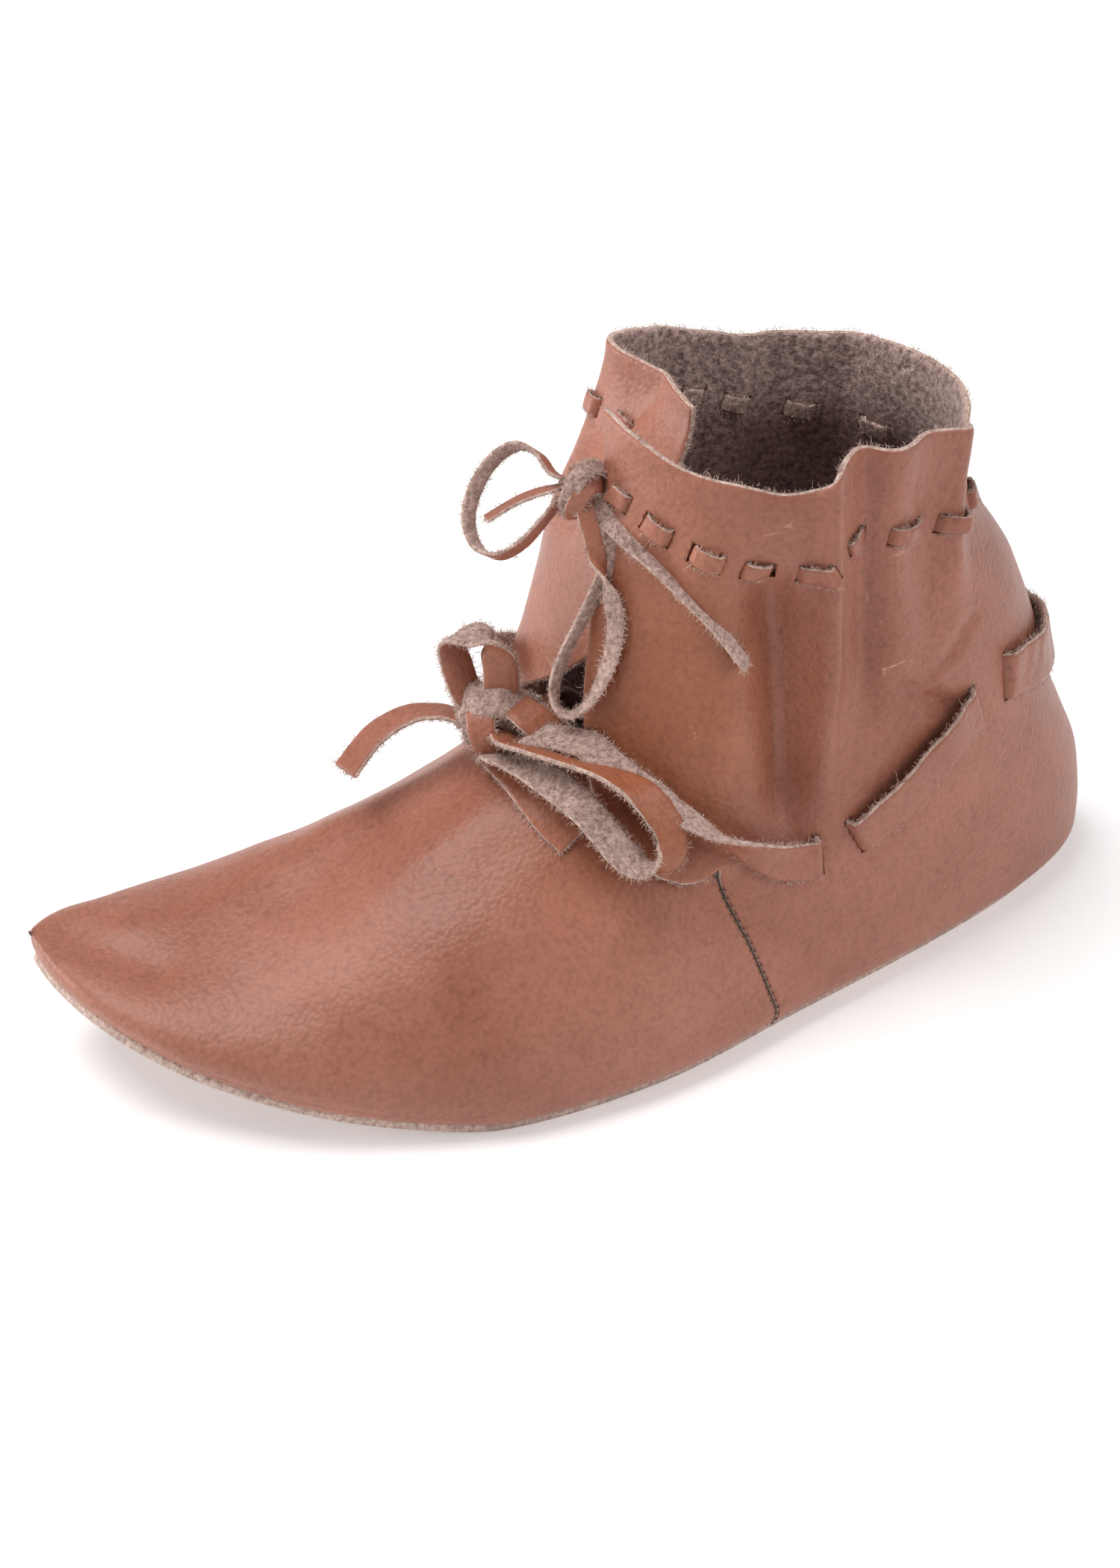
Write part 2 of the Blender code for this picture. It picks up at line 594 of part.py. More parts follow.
class Threading:
    """Path of a flat lace that goes in and out through slits in the upper."""

    def __init__(self, surface, row, crossings, thickness, start, end, mirrored=False):
        self.surface, self.row, self.crossings = surface, row, crossings
        self.thickness, self.mirrored = thickness, mirrored
        outside = LACE_CLEARANCE + thickness / 2
        inside = -WALL - outside
        stops, level = [(start, outside)], outside
        for crossing in crossings:
            reach = self.reach(crossing)
            stops.append((crossing - reach, level))
            level = inside if level == outside else outside
            stops.append((crossing + reach, level))
        stops.append((end, level))
        directions, levels = [], []
        for (a, level_a), (b, level_b) in zip(stops, stops[1:]):
            count = max(1, int(np.ceil((b - a) / LACE_STEP))) if level_a == level_b else 1
            share = np.arange(count) / count
            directions.extend(a + (b - a) * share)
            levels.extend(level_a + (level_b - level_a) * share)
        self.directions = np.array(directions + [end])
        self.levels = np.array(levels + [level])
        if "off" in row.column:
            self.levels += self.read("off", self.directions)
        height = self.read("height", self.directions)
        self.normals = shaft_normal(height, self.directions)
        self.centre = surface.place(height, self.directions)

    def read(self, name, direction):
        if self.mirrored:
            direction = 180 - np.abs(np.asarray(direction, float) - 180)
        return self.row.at(name, direction)

    def reach(self, crossing):
        """Half the stretch of a crossing, in degrees."""
        place = shaft(self.read("height", crossing), crossing)
        centre = HEEL_X + LENGTH * RING.at("centre", place[2] / COLLAR_HEIGHT)
        return np.degrees(CROSSING_REACH / np.hypot(place[0] - centre, place[1]))

    def sheet(self, width, columns):
        """Rows of points along the lace, each row laid on the upper at the lace's own level."""
        height = self.read("height", self.directions)
        across = unit(np.cross(self.normals, np.gradient(self.centre, axis=0)))
        rows = []
        for share in np.linspace(-0.5, 0.5, columns + 1):
            beside = self.centre + across * (width * share)[:, None]
            beside_height = height + beside[:, 2] - self.centre[:, 2]
            axis = HEEL_X + LENGTH * RING.at("centre", beside_height / COLLAR_HEIGHT)
            direction = np.degrees(np.arctan2(beside[:, 1], beside[:, 0] - axis)) % 360
            normal = shaft_normal(beside_height, direction)
            rows.append(self.surface.place(beside_height, direction) + normal * self.levels[:, None])
        return np.stack(rows)

    def slit_frames(self):
        """Centre, axes along, across and out of the wall, for each crossing."""
        for crossing in self.crossings:
            height = self.read("height", crossing)
            normal = shaft_normal(height, crossing)
            ahead = self.surface.place(self.read("height", crossing + 1), crossing + 1)
            centre = self.surface.place(height, np.array(crossing))
            across = unit(np.cross(normal, ahead - centre))
            yield crossing, centre - normal * WALL / 2, np.cross(across, normal), across, normal

    def slit_length(self):
        drop = WALL + 2 * LACE_CLEARANCE + self.thickness
        slope = np.arctan2(drop, 2 * CROSSING_REACH)
        return 2 * (CROSSING_REACH * WALL / drop + self.thickness / 2 / np.sin(slope) + SLIT_PLAY)


def route(table, steps):
    """Smooth run through the rows of a table of points."""
    key = np.linspace(0, len(table.key) - 1, steps + 1)
    return stack(table.at("x", key), table.at("y", key), table.at("z", key))


def points_of(table):
    return stack(table.column["x"], table.column["y"], table.column["z"])


def unit(vectors):
    return vectors / np.linalg.norm(vectors, axis=-1, keepdims=True)


def strip(name, rows, thickness, material, collection):
    """Flat lace from rows of points that run along it."""
    mesh = grid_mesh(name, [rows], lambda centre, normal: 1.0)
    thicken(new_object(name, mesh, material, collection), thickness, 0)


def ribbon(name, points, across, width, thickness, material, collection):
    """Flat lace along free points, its width square to its path and near the direction across."""
    tangent = unit(np.gradient(points, axis=0))
    across = np.broadcast_to(across, points.shape)
    half = unit(across - tangent * (across * tangent).sum(1)[:, None]) * width / 2
    strip(name, np.stack([points - half, points + half]), thickness, material, collection)


def extended(rows, before, after):
    """Rows of a lace with free centre points added at its two ends."""
    rows = list(np.moveaxis(rows, 1, 0))
    first, last = rows[0] - rows[0].mean(0), rows[-1] - rows[-1].mean(0)
    rows = [first + point for point in before] + rows + [last + point for point in after]
    return np.moveaxis(np.array(rows), 0, 1)


def make_slits(threadings, widths, collection):
    """One cutter with a box for each slit."""
    shape = bmesh.new()
    for threading, width in zip(threadings, widths):
        for crossing, centre, along, across, normal in threading.slit_frames():
            size = (threading.slit_length(), width(crossing) + 2 * SLIT_CLEARANCE, SLIT_DEPTH)
            axes = np.column_stack([along * size[0], across * size[1], normal * size[2], centre])
            frame = Matrix([*axes.tolist(), (0, 0, 0, 1)])
            bmesh.ops.create_cube(shape, size=1.0, matrix=frame)
    bmesh.ops.recalc_face_normals(shape, faces=shape.faces)
    mesh = bpy.data.meshes.new("slit_cutter")
    shape.to_mesh(mesh)
    shape.free()
    cutter = bpy.data.objects.new("slit_cutter", mesh)
    cutter.hide_render = True
    cutter.display_type = "WIRE"
    collection.objects.link(cutter)
    return cutter


def make_thong(threading, material, collection):
    width = np.full(threading.directions.shape, THONG_WIDTH)
    strip("ankle_thong", threading.sheet(width, 1), THONG_THICKNESS, material, collection)


def make_strap(threading, material, collection):
    rows = threading.sheet(threading.read("width", threading.directions), STRAP_COLUMNS)
    rows = extended(rows, points_of(STRAP_NEAR_RUN), points_of(STRAP_FAR_RUN))
    strip("instep_strap", rows, STRAP_THICKNESS, material, collection)


def make_knot(name, table, tilt, material, collection):
    centre, half_sizes = points_of(table)
    shape = bmesh.new()
    bmesh.ops.create_uvsphere(shape, u_segments=KNOT_SEGMENTS, v_segments=KNOT_RINGS, radius=1.0)
    bmesh.ops.scale(shape, vec=half_sizes, verts=shape.verts)
    mesh = bpy.data.meshes.new(name)
    shape.to_mesh(mesh)
    shape.free()
    mesh.shade_smooth()
    knot = new_object(name, mesh, material, collection)
    knot.location = centre
    knot.rotation_euler = (0, tilt, 0)


def make_ankle_bow(material, collection):
    make_knot("ankle_knot", ANKLE_KNOT, 0, material, collection)
    runs = (("ankle_loop_front", ANKLE_LOOP_FRONT, OUTWARD, LOOP_STEPS),
            ("ankle_loop_hanging", ANKLE_LOOP_HANGING, OFF_FLAP, LOOP_STEPS),
            ("ankle_end_short", ANKLE_END_SHORT, OUTWARD, END_STEPS),
            ("ankle_end_long", ANKLE_END_LONG, DOWN_FLAP, END_STEPS))
    for name, table, across, steps in runs:
        ribbon(name, route(table, steps), across, THONG_WIDTH, THONG_THICKNESS, material, collection)


def make_instep_bow(material, collection):
    make_knot("instep_knot", INSTEP_KNOT, INSTEP_KNOT_TILT, material, collection)
    runs = (("instep_loop_upright", INSTEP_LOOP_UPRIGHT, ACROSS_UPRIGHT, LOOP_STEPS, LOOP_WIDTH),
            ("instep_loop_right", INSTEP_LOOP_RIGHT, ACROSS_RIGHT, LOOP_STEPS, LOOP_WIDTH),
            ("instep_end_left", INSTEP_END_LEFT, ACROSS_LEFT, END_STEPS, STRAP_END_WIDTH),
            ("instep_end_right", INSTEP_END_RIGHT, DOWN_VAMP, END_STEPS, STRAP_END_WIDTH))
    for name, table, across, steps, width in runs:
        ribbon(name, route(table, steps), across, width, STRAP_THICKNESS, material, collection)


def leather(name, colour, roughness):
    material = bpy.data.materials.new(name)
    material.use_nodes = True
    shader = material.node_tree.nodes["Principled BSDF"]
    shader.inputs["Base Color"].default_value = (*colour, 1.0)
    shader.inputs["Roughness"].default_value = roughness
    shader.inputs["Metallic"].default_value = 0.0
    return material


def build():
    for obj in list(bpy.data.objects):
        bpy.data.objects.remove(obj, do_unlink=True)
    boot = bpy.data.collections.new("medieval_ankle_boot")
    cutters = bpy.data.collections.new("cutters")
    for collection in (boot, cutters):
        bpy.context.scene.collection.children.link(collection)
    surface = UpperSurface()
    thong = Threading(surface, THONG_ROW, THONG_CROSSINGS, THONG_THICKNESS, THONG_START, THONG_END)
    far_crossings = tuple(360 - crossing for crossing in reversed(STRAP_CROSSINGS))
    strap_start = STRAP_ROW.key[0]
    strap = Threading(surface, STRAP_ROW, STRAP_CROSSINGS + far_crossings, STRAP_THICKNESS,
                      strap_start, 360 - strap_start, mirrored=True)
    widths = (lambda crossing: THONG_WIDTH, lambda crossing: float(strap.read("width", crossing)))
    slits = make_slits((thong, strap), widths, cutters)
    make_sole(leather("sole_leather", (0.10, 0.055, 0.04), 0.75), boot)
    make_upper(surface, slits, leather("upper_leather", (0.30, 0.135, 0.095), 0.5), boot)
    lace = leather("lace_leather", (0.27, 0.13, 0.10), 0.6)
    make_thong(thong, lace, boot)
    make_strap(strap, lace, boot)
    make_ankle_bow(lace, boot)
    make_instep_bow(lace, boot)


build()
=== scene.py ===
"""Looks of the soft leather ankle boot: folded leather, seams, laces tied in bows, floor and light.

The shape functions and tables repeat the construction in finer steps, in the same frame, in metres:
the toe points along +X, the outer side along +Y, and the sole stands on z = 0.
"""
import bmesh
import bpy
import numpy as np
from mathutils import Matrix, Vector, noise


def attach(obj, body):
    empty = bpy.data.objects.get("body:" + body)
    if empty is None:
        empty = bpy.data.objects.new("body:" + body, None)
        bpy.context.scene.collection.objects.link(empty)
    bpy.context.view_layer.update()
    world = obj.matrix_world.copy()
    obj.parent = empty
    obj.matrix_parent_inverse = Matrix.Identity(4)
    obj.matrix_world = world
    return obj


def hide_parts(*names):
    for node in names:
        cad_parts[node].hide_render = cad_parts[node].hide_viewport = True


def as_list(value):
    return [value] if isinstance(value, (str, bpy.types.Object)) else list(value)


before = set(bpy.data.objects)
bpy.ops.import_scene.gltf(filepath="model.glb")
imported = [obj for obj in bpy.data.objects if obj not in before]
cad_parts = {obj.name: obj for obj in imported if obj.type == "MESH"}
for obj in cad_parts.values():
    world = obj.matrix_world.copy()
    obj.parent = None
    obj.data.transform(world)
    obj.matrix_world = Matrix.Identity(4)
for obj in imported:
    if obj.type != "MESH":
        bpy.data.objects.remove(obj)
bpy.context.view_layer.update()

# Construction, as in the CAD
LENGTH = 0.285
BALL_WIDTH = 0.104
INSTEP_HEIGHT = 0.0784
COLLAR_HEIGHT = 0.152
HEEL_X = -0.140
WALL = 0.0020
SOLE_THICKNESS = 0.0035
EDGE_HEIGHT = 0.0018
ROLL = 0.0090
ROLL_ANGLE = np.radians(70)
SEAM_STATION = 0.4035
SEAM_TOP = 0.050
FLAP_START = 0.0525
FLAP_CLEARANCE = WALL + 0.0008
VAMP_FULLNESS = 0.92
FAR_FRONT_POWER = 4.0
SQUARE_FOOT, SQUARE_HEAD = 0.050, 0.085
ROUND_FOOT, ROUND_HEAD = 0.125, 0.160
ROUND_SHARE = 0.55
TUCK_FROM, TUCK_TO = 309, 334
TUCK_LOW = 0.0034
TUCK_HIGH = 0.016
TUCK_FOOT, TUCK_HEAD = 0.116, 0.158
THONG_WIDTH = 0.0045
THONG_THICKNESS = 0.0012
STRAP_THICKNESS = 0.0016
STRAP_END_WIDTH = 0.0090
THONG_SIZE = (THONG_WIDTH, THONG_THICKNESS)
STRAP_SIZE = (STRAP_END_WIDTH, STRAP_THICKNESS)
LACE_CLEARANCE = 0.0002

# Only in the looks: how far the sole reaches under the rolled edge, and the thinned leather of the toe
SOLE_TUCK = 0.0012
TIP_WALL_SHARE = 0.4
SKIVE_LENGTH = 0.020

# Fineness of the meshes
ROLL_STEPS = 5
SEAM_STEPS = 18
THROAT_STEPS = 24
VAMP_STEPS = 62
QUARTER_STEPS = 108
SHAFT_STEPS = 46
NEAR_FLAP_STEPS = 24
FAR_FLAP_STEPS = 34
SOLE_STEPS = 110
SOLE_ROWS = 24
VAMP_CROWDING = 1.5
HEEL_SAMPLES = 120
HEEL_SHARE = 0.66
SUBDIVISION = 1
WELD = 2e-5
TINY = 1e-12

# Small differences that give the normals
TURN_STEP = 1e-3
HEIGHT_STEP = 0.0005
DIRECTION_STEP = 0.2

# Point inside the boot that its leather faces away from
AXIS_X = -0.010
AXIS_Z = 0.030

# The flaps are pushed off the vamp within PUSH_FULL of it, and less as far as PUSH_END
PUSH_FULL, PUSH_END = 0.002, 0.010

# The vamp moves to meet the quarters, less towards the middle of the throat and over this share of
# its length, and its rows next to the seams carry less of its folds
THROAT_MIDDLE = 0.5
SEAM_FADE = 0.4
SEAM_FREE_ROWS = 6

# Shares of a fold's line over which it starts and ends, and the fine crinkles of the leather
FOLD_FOOT = (-0.15, 0.25)
FOLD_HEAD = (0.85, 1.15)
CRINKLE_SIZE = 0.011
CRINKLE_DEPTH = 0.00028
CRINKLE_FINER = 2.3
CRINKLE_FINE_SHARE = 0.5

# Laces: spacing of their points, the slits they go through, and their hand-cut edges
LACE_SPACING = 0.0009
LACE_STEP = 0.5
LACE_AHEAD = 1.0
LACE_COLUMNS = 4
STRAP_COLUMNS = 6
WRAP_STEPS = 28
CORE_STEPS = 120
ROUTE_SAMPLES = 400
CROSSING_REACH = 0.0010
SLIT_CLEARANCE = 0.00025
SLIT_DEPTH = 0.006
EASE_SLOPE = 1.5
BAR_BULGE = 0.0007
LACE_WANDER = 0.06
LACE_WANDER_SIZE = 0.0035

# Loose fibres: shares of the length below and above the bend, corners of the faces, fibres per metre
# of edge and per square metre of flesh side, and how much they spread in direction and in length
FUZZ_SEED = 7
FIBRE_SIDES = np.radians((0, 120, 240))
FIBRE_RADIUS = 0.00008
FIBRE_BEND_RADIUS = FIBRE_RADIUS * 2 / 3
FIBRE_LENGTH = 0.0010
FIBRE_LOWER, FIBRE_UPPER = 0.55, 0.45
FIBRE_QUADS = ((0, 1, 4, 3), (1, 2, 5, 4), (2, 0, 3, 5))
FIBRE_TIPS = ((3, 4, 6), (4, 5, 6), (5, 3, 6))
RIM_FIBRES = 3200
EDGE_FIBRES = 4200
EDGE_SPREAD = 0.55
EDGE_LENGTH_SPREAD = 0.45
NAP_FIBRES = 1.7e6
NAP_RISE = 0.6
NAP_SPREAD = 0.6
NAP_SHARE = 0.8
NAP_LENGTH_SPREAD = 0.35

# Side seams: the stitches, with how far they slant and arch, and the welt behind them
STITCH_SPACING = 0.0024
STITCH_REACH = 0.0007
STITCH_RADIUS = 0.00022
STITCH_RINGS = 7
STITCH_SIDES = 6
STITCH_SLANT = 0.6
STITCH_CREST = 0.6
STITCH_ARCH = 1.6
WELT_END = 0.0045
WELT_WIDTH = 0.0022
WELT_DEPTH = 0.0007

# Grain side: linear colours; noises as scale in a metre, detail, roughness and distortion, with their
# stretch; ramps as positions and values; bumps as strength and height
GRAIN_DARK = (0.295, 0.106, 0.066, 1)
GRAIN_MIDDLE = (0.340, 0.130, 0.085, 1)
GRAIN_LIGHT = (0.390, 0.158, 0.107, 1)
GRAIN_SCUFF = (0.70, 0.42, 0.33, 1)
GRAIN_SATIN = {"Roughness": 0.42, "Specular IOR Level": 0.30}
GRAIN_ROUGHNESS = ((0.3, 0.36), (0.7, 0.46))
CLOUD = (24, 3, 0.5, 0.4)
CLOUD_COLOURS = ((0.32, GRAIN_DARK), (0.50, GRAIN_MIDDLE), (0.70, GRAIN_LIGHT))
PEBBLES = 850
PEBBLE_SHADE = ((0.35, 1.0), (0.75, 0.82))
PEBBLE_BUMP = (0.38, 0.0004)
WRINKLE, WRINKLE_STRETCH = (1.5, 3, 0.55, 0.5), (360, 360, 170)
WRINKLE_SHADE = ((0.30, 0.88), (0.52, 1.0))
WRINKLE_BUMP = (0.24, 0.0005)
STREAK, STREAK_STRETCH = (1.6, 3, 0.6, 1.2), (60, 420, 200)
STREAK_CUT = ((0.66, 0.0), (0.72, 1.0))
SCUFF_PATCH = (38, 2, 0.5, 0.0)
SCUFF_CUT = ((0.56, 0.0), (0.66, 0.45))
UNCHANGED = (1, 1, 1, 1)
MIX_FACTOR, MIX_FIRST, MIX_SECOND, MIX_RESULT = 0, 6, 7, 2

# Painted shade: grain darker and warmer round the side of the ankle, fading out with distance from a centre
GRAIN_PAINTED_SHADE = (0.98, 0.86, 0.66, 1)
PAINTED_SHADE_CENTRE = (0.012, 0.042, 0.096)
PAINTED_SHADE_FROM, PAINTED_SHADE_TO = 0.020, 0.062
# Painted shade: lining darker low inside the boot, below a height
LINING_PAINTED_SHADE = (0.62, 0.54, 0.54, 1)
LINING_SHADE_BELOW, LINING_SHADE_ABOVE = 0.118, 0.137

# Flesh side, lining and cut edge: dark and light colour, height of the pile, clumps in a metre
FLESH = ((0.280, 0.165, 0.135, 1), (0.640, 0.450, 0.395, 1), 0.0006, 620)
LINING = ((0.205, 0.122, 0.106, 1), (0.720, 0.500, 0.455, 1), 0.0009, 560)
CUT_EDGE = ((0.420, 0.255, 0.205, 1), (0.780, 0.580, 0.500, 1), 0.0004, 700)
FUZZ = {"Roughness": 0.95, "Specular IOR Level": 0.15, "Sheen Weight": 0.35, "Sheen Roughness": 0.6,
        "Sheen Tint": (0.9, 0.75, 0.68, 1)}
CLUMP = (4, 0.65, 0.0)
CLUMP_DARK, CLUMP_LIGHT = 0.34, 0.62
CLUMP_BUMP = 1.0
FIBRE, FIBRE_STRETCH = (1.3, 3, 0.6, 0.0), (700, 1200, 500)
FIBRE_SHADE = ((0.35, 0.70), (0.62, 1.0))
FIBRE_BUMP = 0.7
FUZZ_PATCH = (45, 3, 0.5, 0.0)
FUZZ_SHADE = ((0.30, 0.82), (0.65, 1.0))

# Waxed thread of the seams
THREAD_WAX = {"Roughness": 0.6}
TWIST = (1800, 3, 0.5, 0.0)
TWIST_COLOURS = ((0.35, (0.060, 0.030, 0.022, 1)), (0.65, (0.120, 0.062, 0.046, 1)))
TWIST_BUMP = (0.5, 0.0001)

# Photograph's camera, and the axes of its plane
CAMERA_AZIMUTH = np.radians(24.4)
CAMERA_ELEVATION = np.radians(36.1)
CAMERA_DISTANCE = 0.780
CAMERA_TARGET = Vector((0, 0, 0.055))
CAMERA_NEAR = 0.05
PHOTO_WIDTH, PHOTO_HEIGHT = 1500, 2100
FOCAL_PIXELS = 4128
CENTRE_PIXEL_X, CENTRE_PIXEL_Y = 809, 1044
SENSOR = 36.0
LEFTWARD = np.array((np.cos(CAMERA_AZIMUTH), -np.sin(CAMERA_AZIMUTH), 0))
TOWARDS = np.array((np.sin(CAMERA_AZIMUTH) * np.cos(CAMERA_ELEVATION),
                    np.cos(CAMERA_AZIMUTH) * np.cos(CAMERA_ELEVATION), np.sin(CAMERA_ELEVATION)))
UPWARD = np.cross(LEFTWARD, TOWARDS)

# Floor, and the lights: name, place, width and power
FLOOR_HALF = 3.0
FLOOR_PAPER = {"Roughness": 0.9, "Specular IOR Level": 0.1, "Base Color": (0.92, 0.92, 0.92, 1),
               "Emission Color": (1, 1, 1, 1), "Emission Strength": 0.22}
WORLD_COLOUR = (1, 1, 1, 1)
WORLD_LIGHT = 0.32
LIGHTS = (
    ("key", (0.42, -0.14, 1.34), 0.9, 14.5),
    ("fill", (1.25, 0.75, 0.60), 0.9, 1.5),
    ("heel", (-0.95, 0.70, 0.75), 0.9, 7.0),
    ("side", (1.25, -0.70, 0.20), 0.8, 14.0),
)

# First and last rows and columns of a grid, each with the one next to it
FIRST_ROW, LAST_ROW = (np.s_[0], np.s_[1]), (np.s_[-1], np.s_[-2])
FIRST_COLUMN, LAST_COLUMN = (np.s_[:, 0], np.s_[:, 1]), (np.s_[:, -1], np.s_[:, -2])


def turn(station):
    """Even parameter round heel and toe, 0 to 1, for a station given as a share of the length."""
    return np.arccos(np.clip(1 - 2 * np.asarray(station, float), -1, 1)) / np.pi


class Table:
    """Rows under named columns; a column is read with a smooth curve through its rows."""

    def __init__(self, columns, *rows, key=None):
        values = np.array(rows, float)
        self.column = {name: values[:, i] for i, name in enumerate(columns.split())}
        self.key = values[:, 0] if key is None else key(values[:, 0])

    def at(self, name, key):
        x, y = self.key, self.column[name]
        key = np.clip(np.asarray(key, float), x[0], x[-1])
        step = np.diff(x)
        slope = np.diff(y) / step
        tangent = np.empty_like(y)
        tangent[1:-1] = (slope[:-1] * step[1:] + slope[1:] * step[:-1]) / (step[:-1] + step[1:])
        tangent[0], tangent[-1] = slope[0], slope[-1]
        i = np.clip(np.searchsorted(x, key) - 1, 0, len(x) - 2)
        t = (key - x[i]) / step[i]
        return ((1 + 2 * t) * (1 - t) ** 2 * y[i] + t * (1 - t) ** 2 * step[i] * tangent[i]
                + t * t * (3 - 2 * t) * y[i + 1] + t * t * (t - 1) * step[i] * tangent[i + 1])


class Route(Table):
    """Table whose rows simply follow each other along a lace."""

    def __init__(self, columns, *rows):
        super().__init__(columns, *rows, key=lambda column: np.arange(len(column), dtype=float))

    def keys(self, count):
        return np.linspace(0, len(self.key) - 1, count)

    def places(self, key):
        return np.stack([self.at(name, key) for name in "xyz"], -1)


# Widest line of the foot: station and toe lift as shares of LENGTH, sides as shares of BALL_WIDTH,
# roll as a share of ROLL
OUTLINE = Table(
    "station outer inner lift roll",
    (0.000, 0.000, 0.000, 0.000, 0.90),
    (0.027, 0.161, -0.160, 0.000, 0.95),
    (0.086, 0.262, -0.258, 0.000, 1.00),
    (0.207, 0.372, -0.330, 0.000, 1.00),
    (0.362, 0.474, -0.330, 0.000, 1.00),
    (0.517, 0.572, -0.365, 0.000, 1.00),
    (0.672, 0.562, -0.425, 0.000, 0.80),
    (0.760, 0.490, -0.435, 0.018, 0.55),
    (0.830, 0.414, -0.420, 0.039, 0.42),
    (0.900, 0.286, -0.378, 0.061, 0.34),
    (0.960, 0.118, -0.318, 0.087, 0.30),
    (1.000, -0.216, -0.216, 0.103, 0.28),
    key=turn)

# Vamp sections from the throat to the toe tip: station at the widest line, then station, height
# (share of INSTEP_HEIGHT) and offset (share of BALL_WIDTH) of the ridge
VAMP = Table(
    "share floor ridge height offset",
    (0.00, SEAM_STATION, 0.530, 1.000, 0.020),
    (0.18, 0.490, 0.610, 0.880, 0.010),
    (0.36, 0.590, 0.700, 0.742, -0.020),
    (0.54, 0.700, 0.785, 0.600, -0.070),
    (0.72, 0.810, 0.865, 0.502, -0.130),
    (0.86, 0.905, 0.935, 0.480, -0.185),
    (0.95, 0.970, 0.980, 0.482, -0.212),
    (1.00, 1.000, 1.000, 0.478, -0.216))

# Rings of the quarters: height as a share of COLLAR_HEIGHT, centre, back and front as shares of
# LENGTH, sides as shares of BALL_WIDTH, and how far the ring has left the heel's own outline
RING = Table(
    "height centre back front outer inner leave",
    (0.070, 0.352, 0.352, 0.300, 0.440, 0.440, 0.00),
    (0.180, 0.352, 0.341, 0.300, 0.430, 0.425, 0.40),
    (0.300, 0.350, 0.317, 0.290, 0.420, 0.415, 0.80),
    (0.420, 0.346, 0.292, 0.255, 0.410, 0.410, 1.00),
    (0.540, 0.340, 0.266, 0.222, 0.400, 0.408, 1.00),
    (0.680, 0.332, 0.226, 0.205, 0.390, 0.405, 1.00),
    (0.830, 0.327, 0.170, 0.190, 0.382, 0.402, 1.00),
    (1.000, 0.323, 0.160, 0.165, 0.388, 0.400, 1.00),
    (1.100, 0.322, 0.164, 0.160, 0.394, 0.400, 1.00))

# Directions are in degrees round the ankle: 0 front, 90 outer side, 180 back, 270 inner side;
# the far flap runs on past 360 inside the near one
RIM = Table(
    "direction height",
    (-14, 1.030), (-8, 1.040), (4, 1.046), (16, 1.042), (30, 1.022), (51, 1.007), (64, 0.995),
    (72, 1.002), (80, 1.040), (99, 1.040), (119, 1.032), (146, 1.005), (180, 0.995), (210, 0.992),
    (232, 0.988), (256, 0.992), (284, 1.020), (308, 1.053), (330, 1.050), (383, 1.035))

# Heights in metres, directions in degrees
SEAM = Table("height direction", (0.010, 74), (0.031, 66), (0.050, 56), (0.075, 52), (0.160, 48))
NEAR_EDGE = Table(
    "height direction",
    (0.050, 33), (0.060, 28), (0.093, 14), (0.110, 11), (0.135, 5), (0.150, -2), (0.165, -12))
FAR_EDGE = Table(
    "height direction",
    (0.050, 352), (0.080, 362), (0.097, 372), (0.120, 380), (0.145, 371), (0.165, 361))

# Lower edges of the flaps, from the seam (0) to the front edge (1)
NEAR_HEM = Table(
    "share height",
    (0.0, FLAP_START), (0.3, 0.0505), (0.6, 0.0520), (0.86, 0.0570), (1.0, 0.0610))
FAR_HEM = Table(
    "share height",
    (0.0, FLAP_START), (0.25, 0.0575), (0.5, 0.0685), (0.76, 0.0830), (0.88, 0.0930), (1.0, 0.1090))

# Heights of the thong's row, and the directions where it goes through the upper
THONG_ROW = Table(
    "direction height",
    (0, 0.1436), (14, 0.1422), (29, 0.1378), (45, 0.1335), (62, 0.1295), (76, 0.1295), (90, 0.1345),
    (104, 0.1340), (129, 0.1300), (145, 0.1265), (180, 0.1250), (215, 0.1260), (250, 0.1300),
    (290, 0.1380), (326, 0.1440), (340, 0.1425), (352, 0.1420))
THONG_START = 8.0
THONG_END = 353.0
THONG_CROSSINGS = (14.5, 21, 29.5, 36.5, 45, 52, 62, 70.5, 80, 87, 95, 104, 119, 129, 145, 155, 166,
                   194, 205, 215, 231, 241, 256, 265, 273, 280, 289.5, 298, 306, 312.5, 319.5, 326,
                   332.5, 338.5)

# The strap's height and width and how much more than the common clearance it stands off the upper,
# from the front run to the back of the heel; the far side mirrors it
STRAP_ROW = Table(
    "direction height width off",
    (20.4, 0.0838, 0.0090, 0.0010), (33, 0.0755, 0.0090, 0.0012), (41, 0.0702, 0.0092, 0.0012),
    (53.6, 0.0630, 0.0094, 0.0010), (63, 0.0568, 0.0096, 0.0009), (75, 0.0508, 0.0098, 0.0006),
    (88, 0.0490, 0.0100, 0.0000), (101, 0.0518, 0.0115, 0.0000), (120, 0.0625, 0.0128, 0.0003),
    (142, 0.0747, 0.0136, 0.0000), (152, 0.0772, 0.0136, 0.0000), (166, 0.0732, 0.0146, 0.0005),
    (180, 0.0702, 0.0150, 0.0007))
STRAP_CROSSINGS = (88, 101, 142, 152)

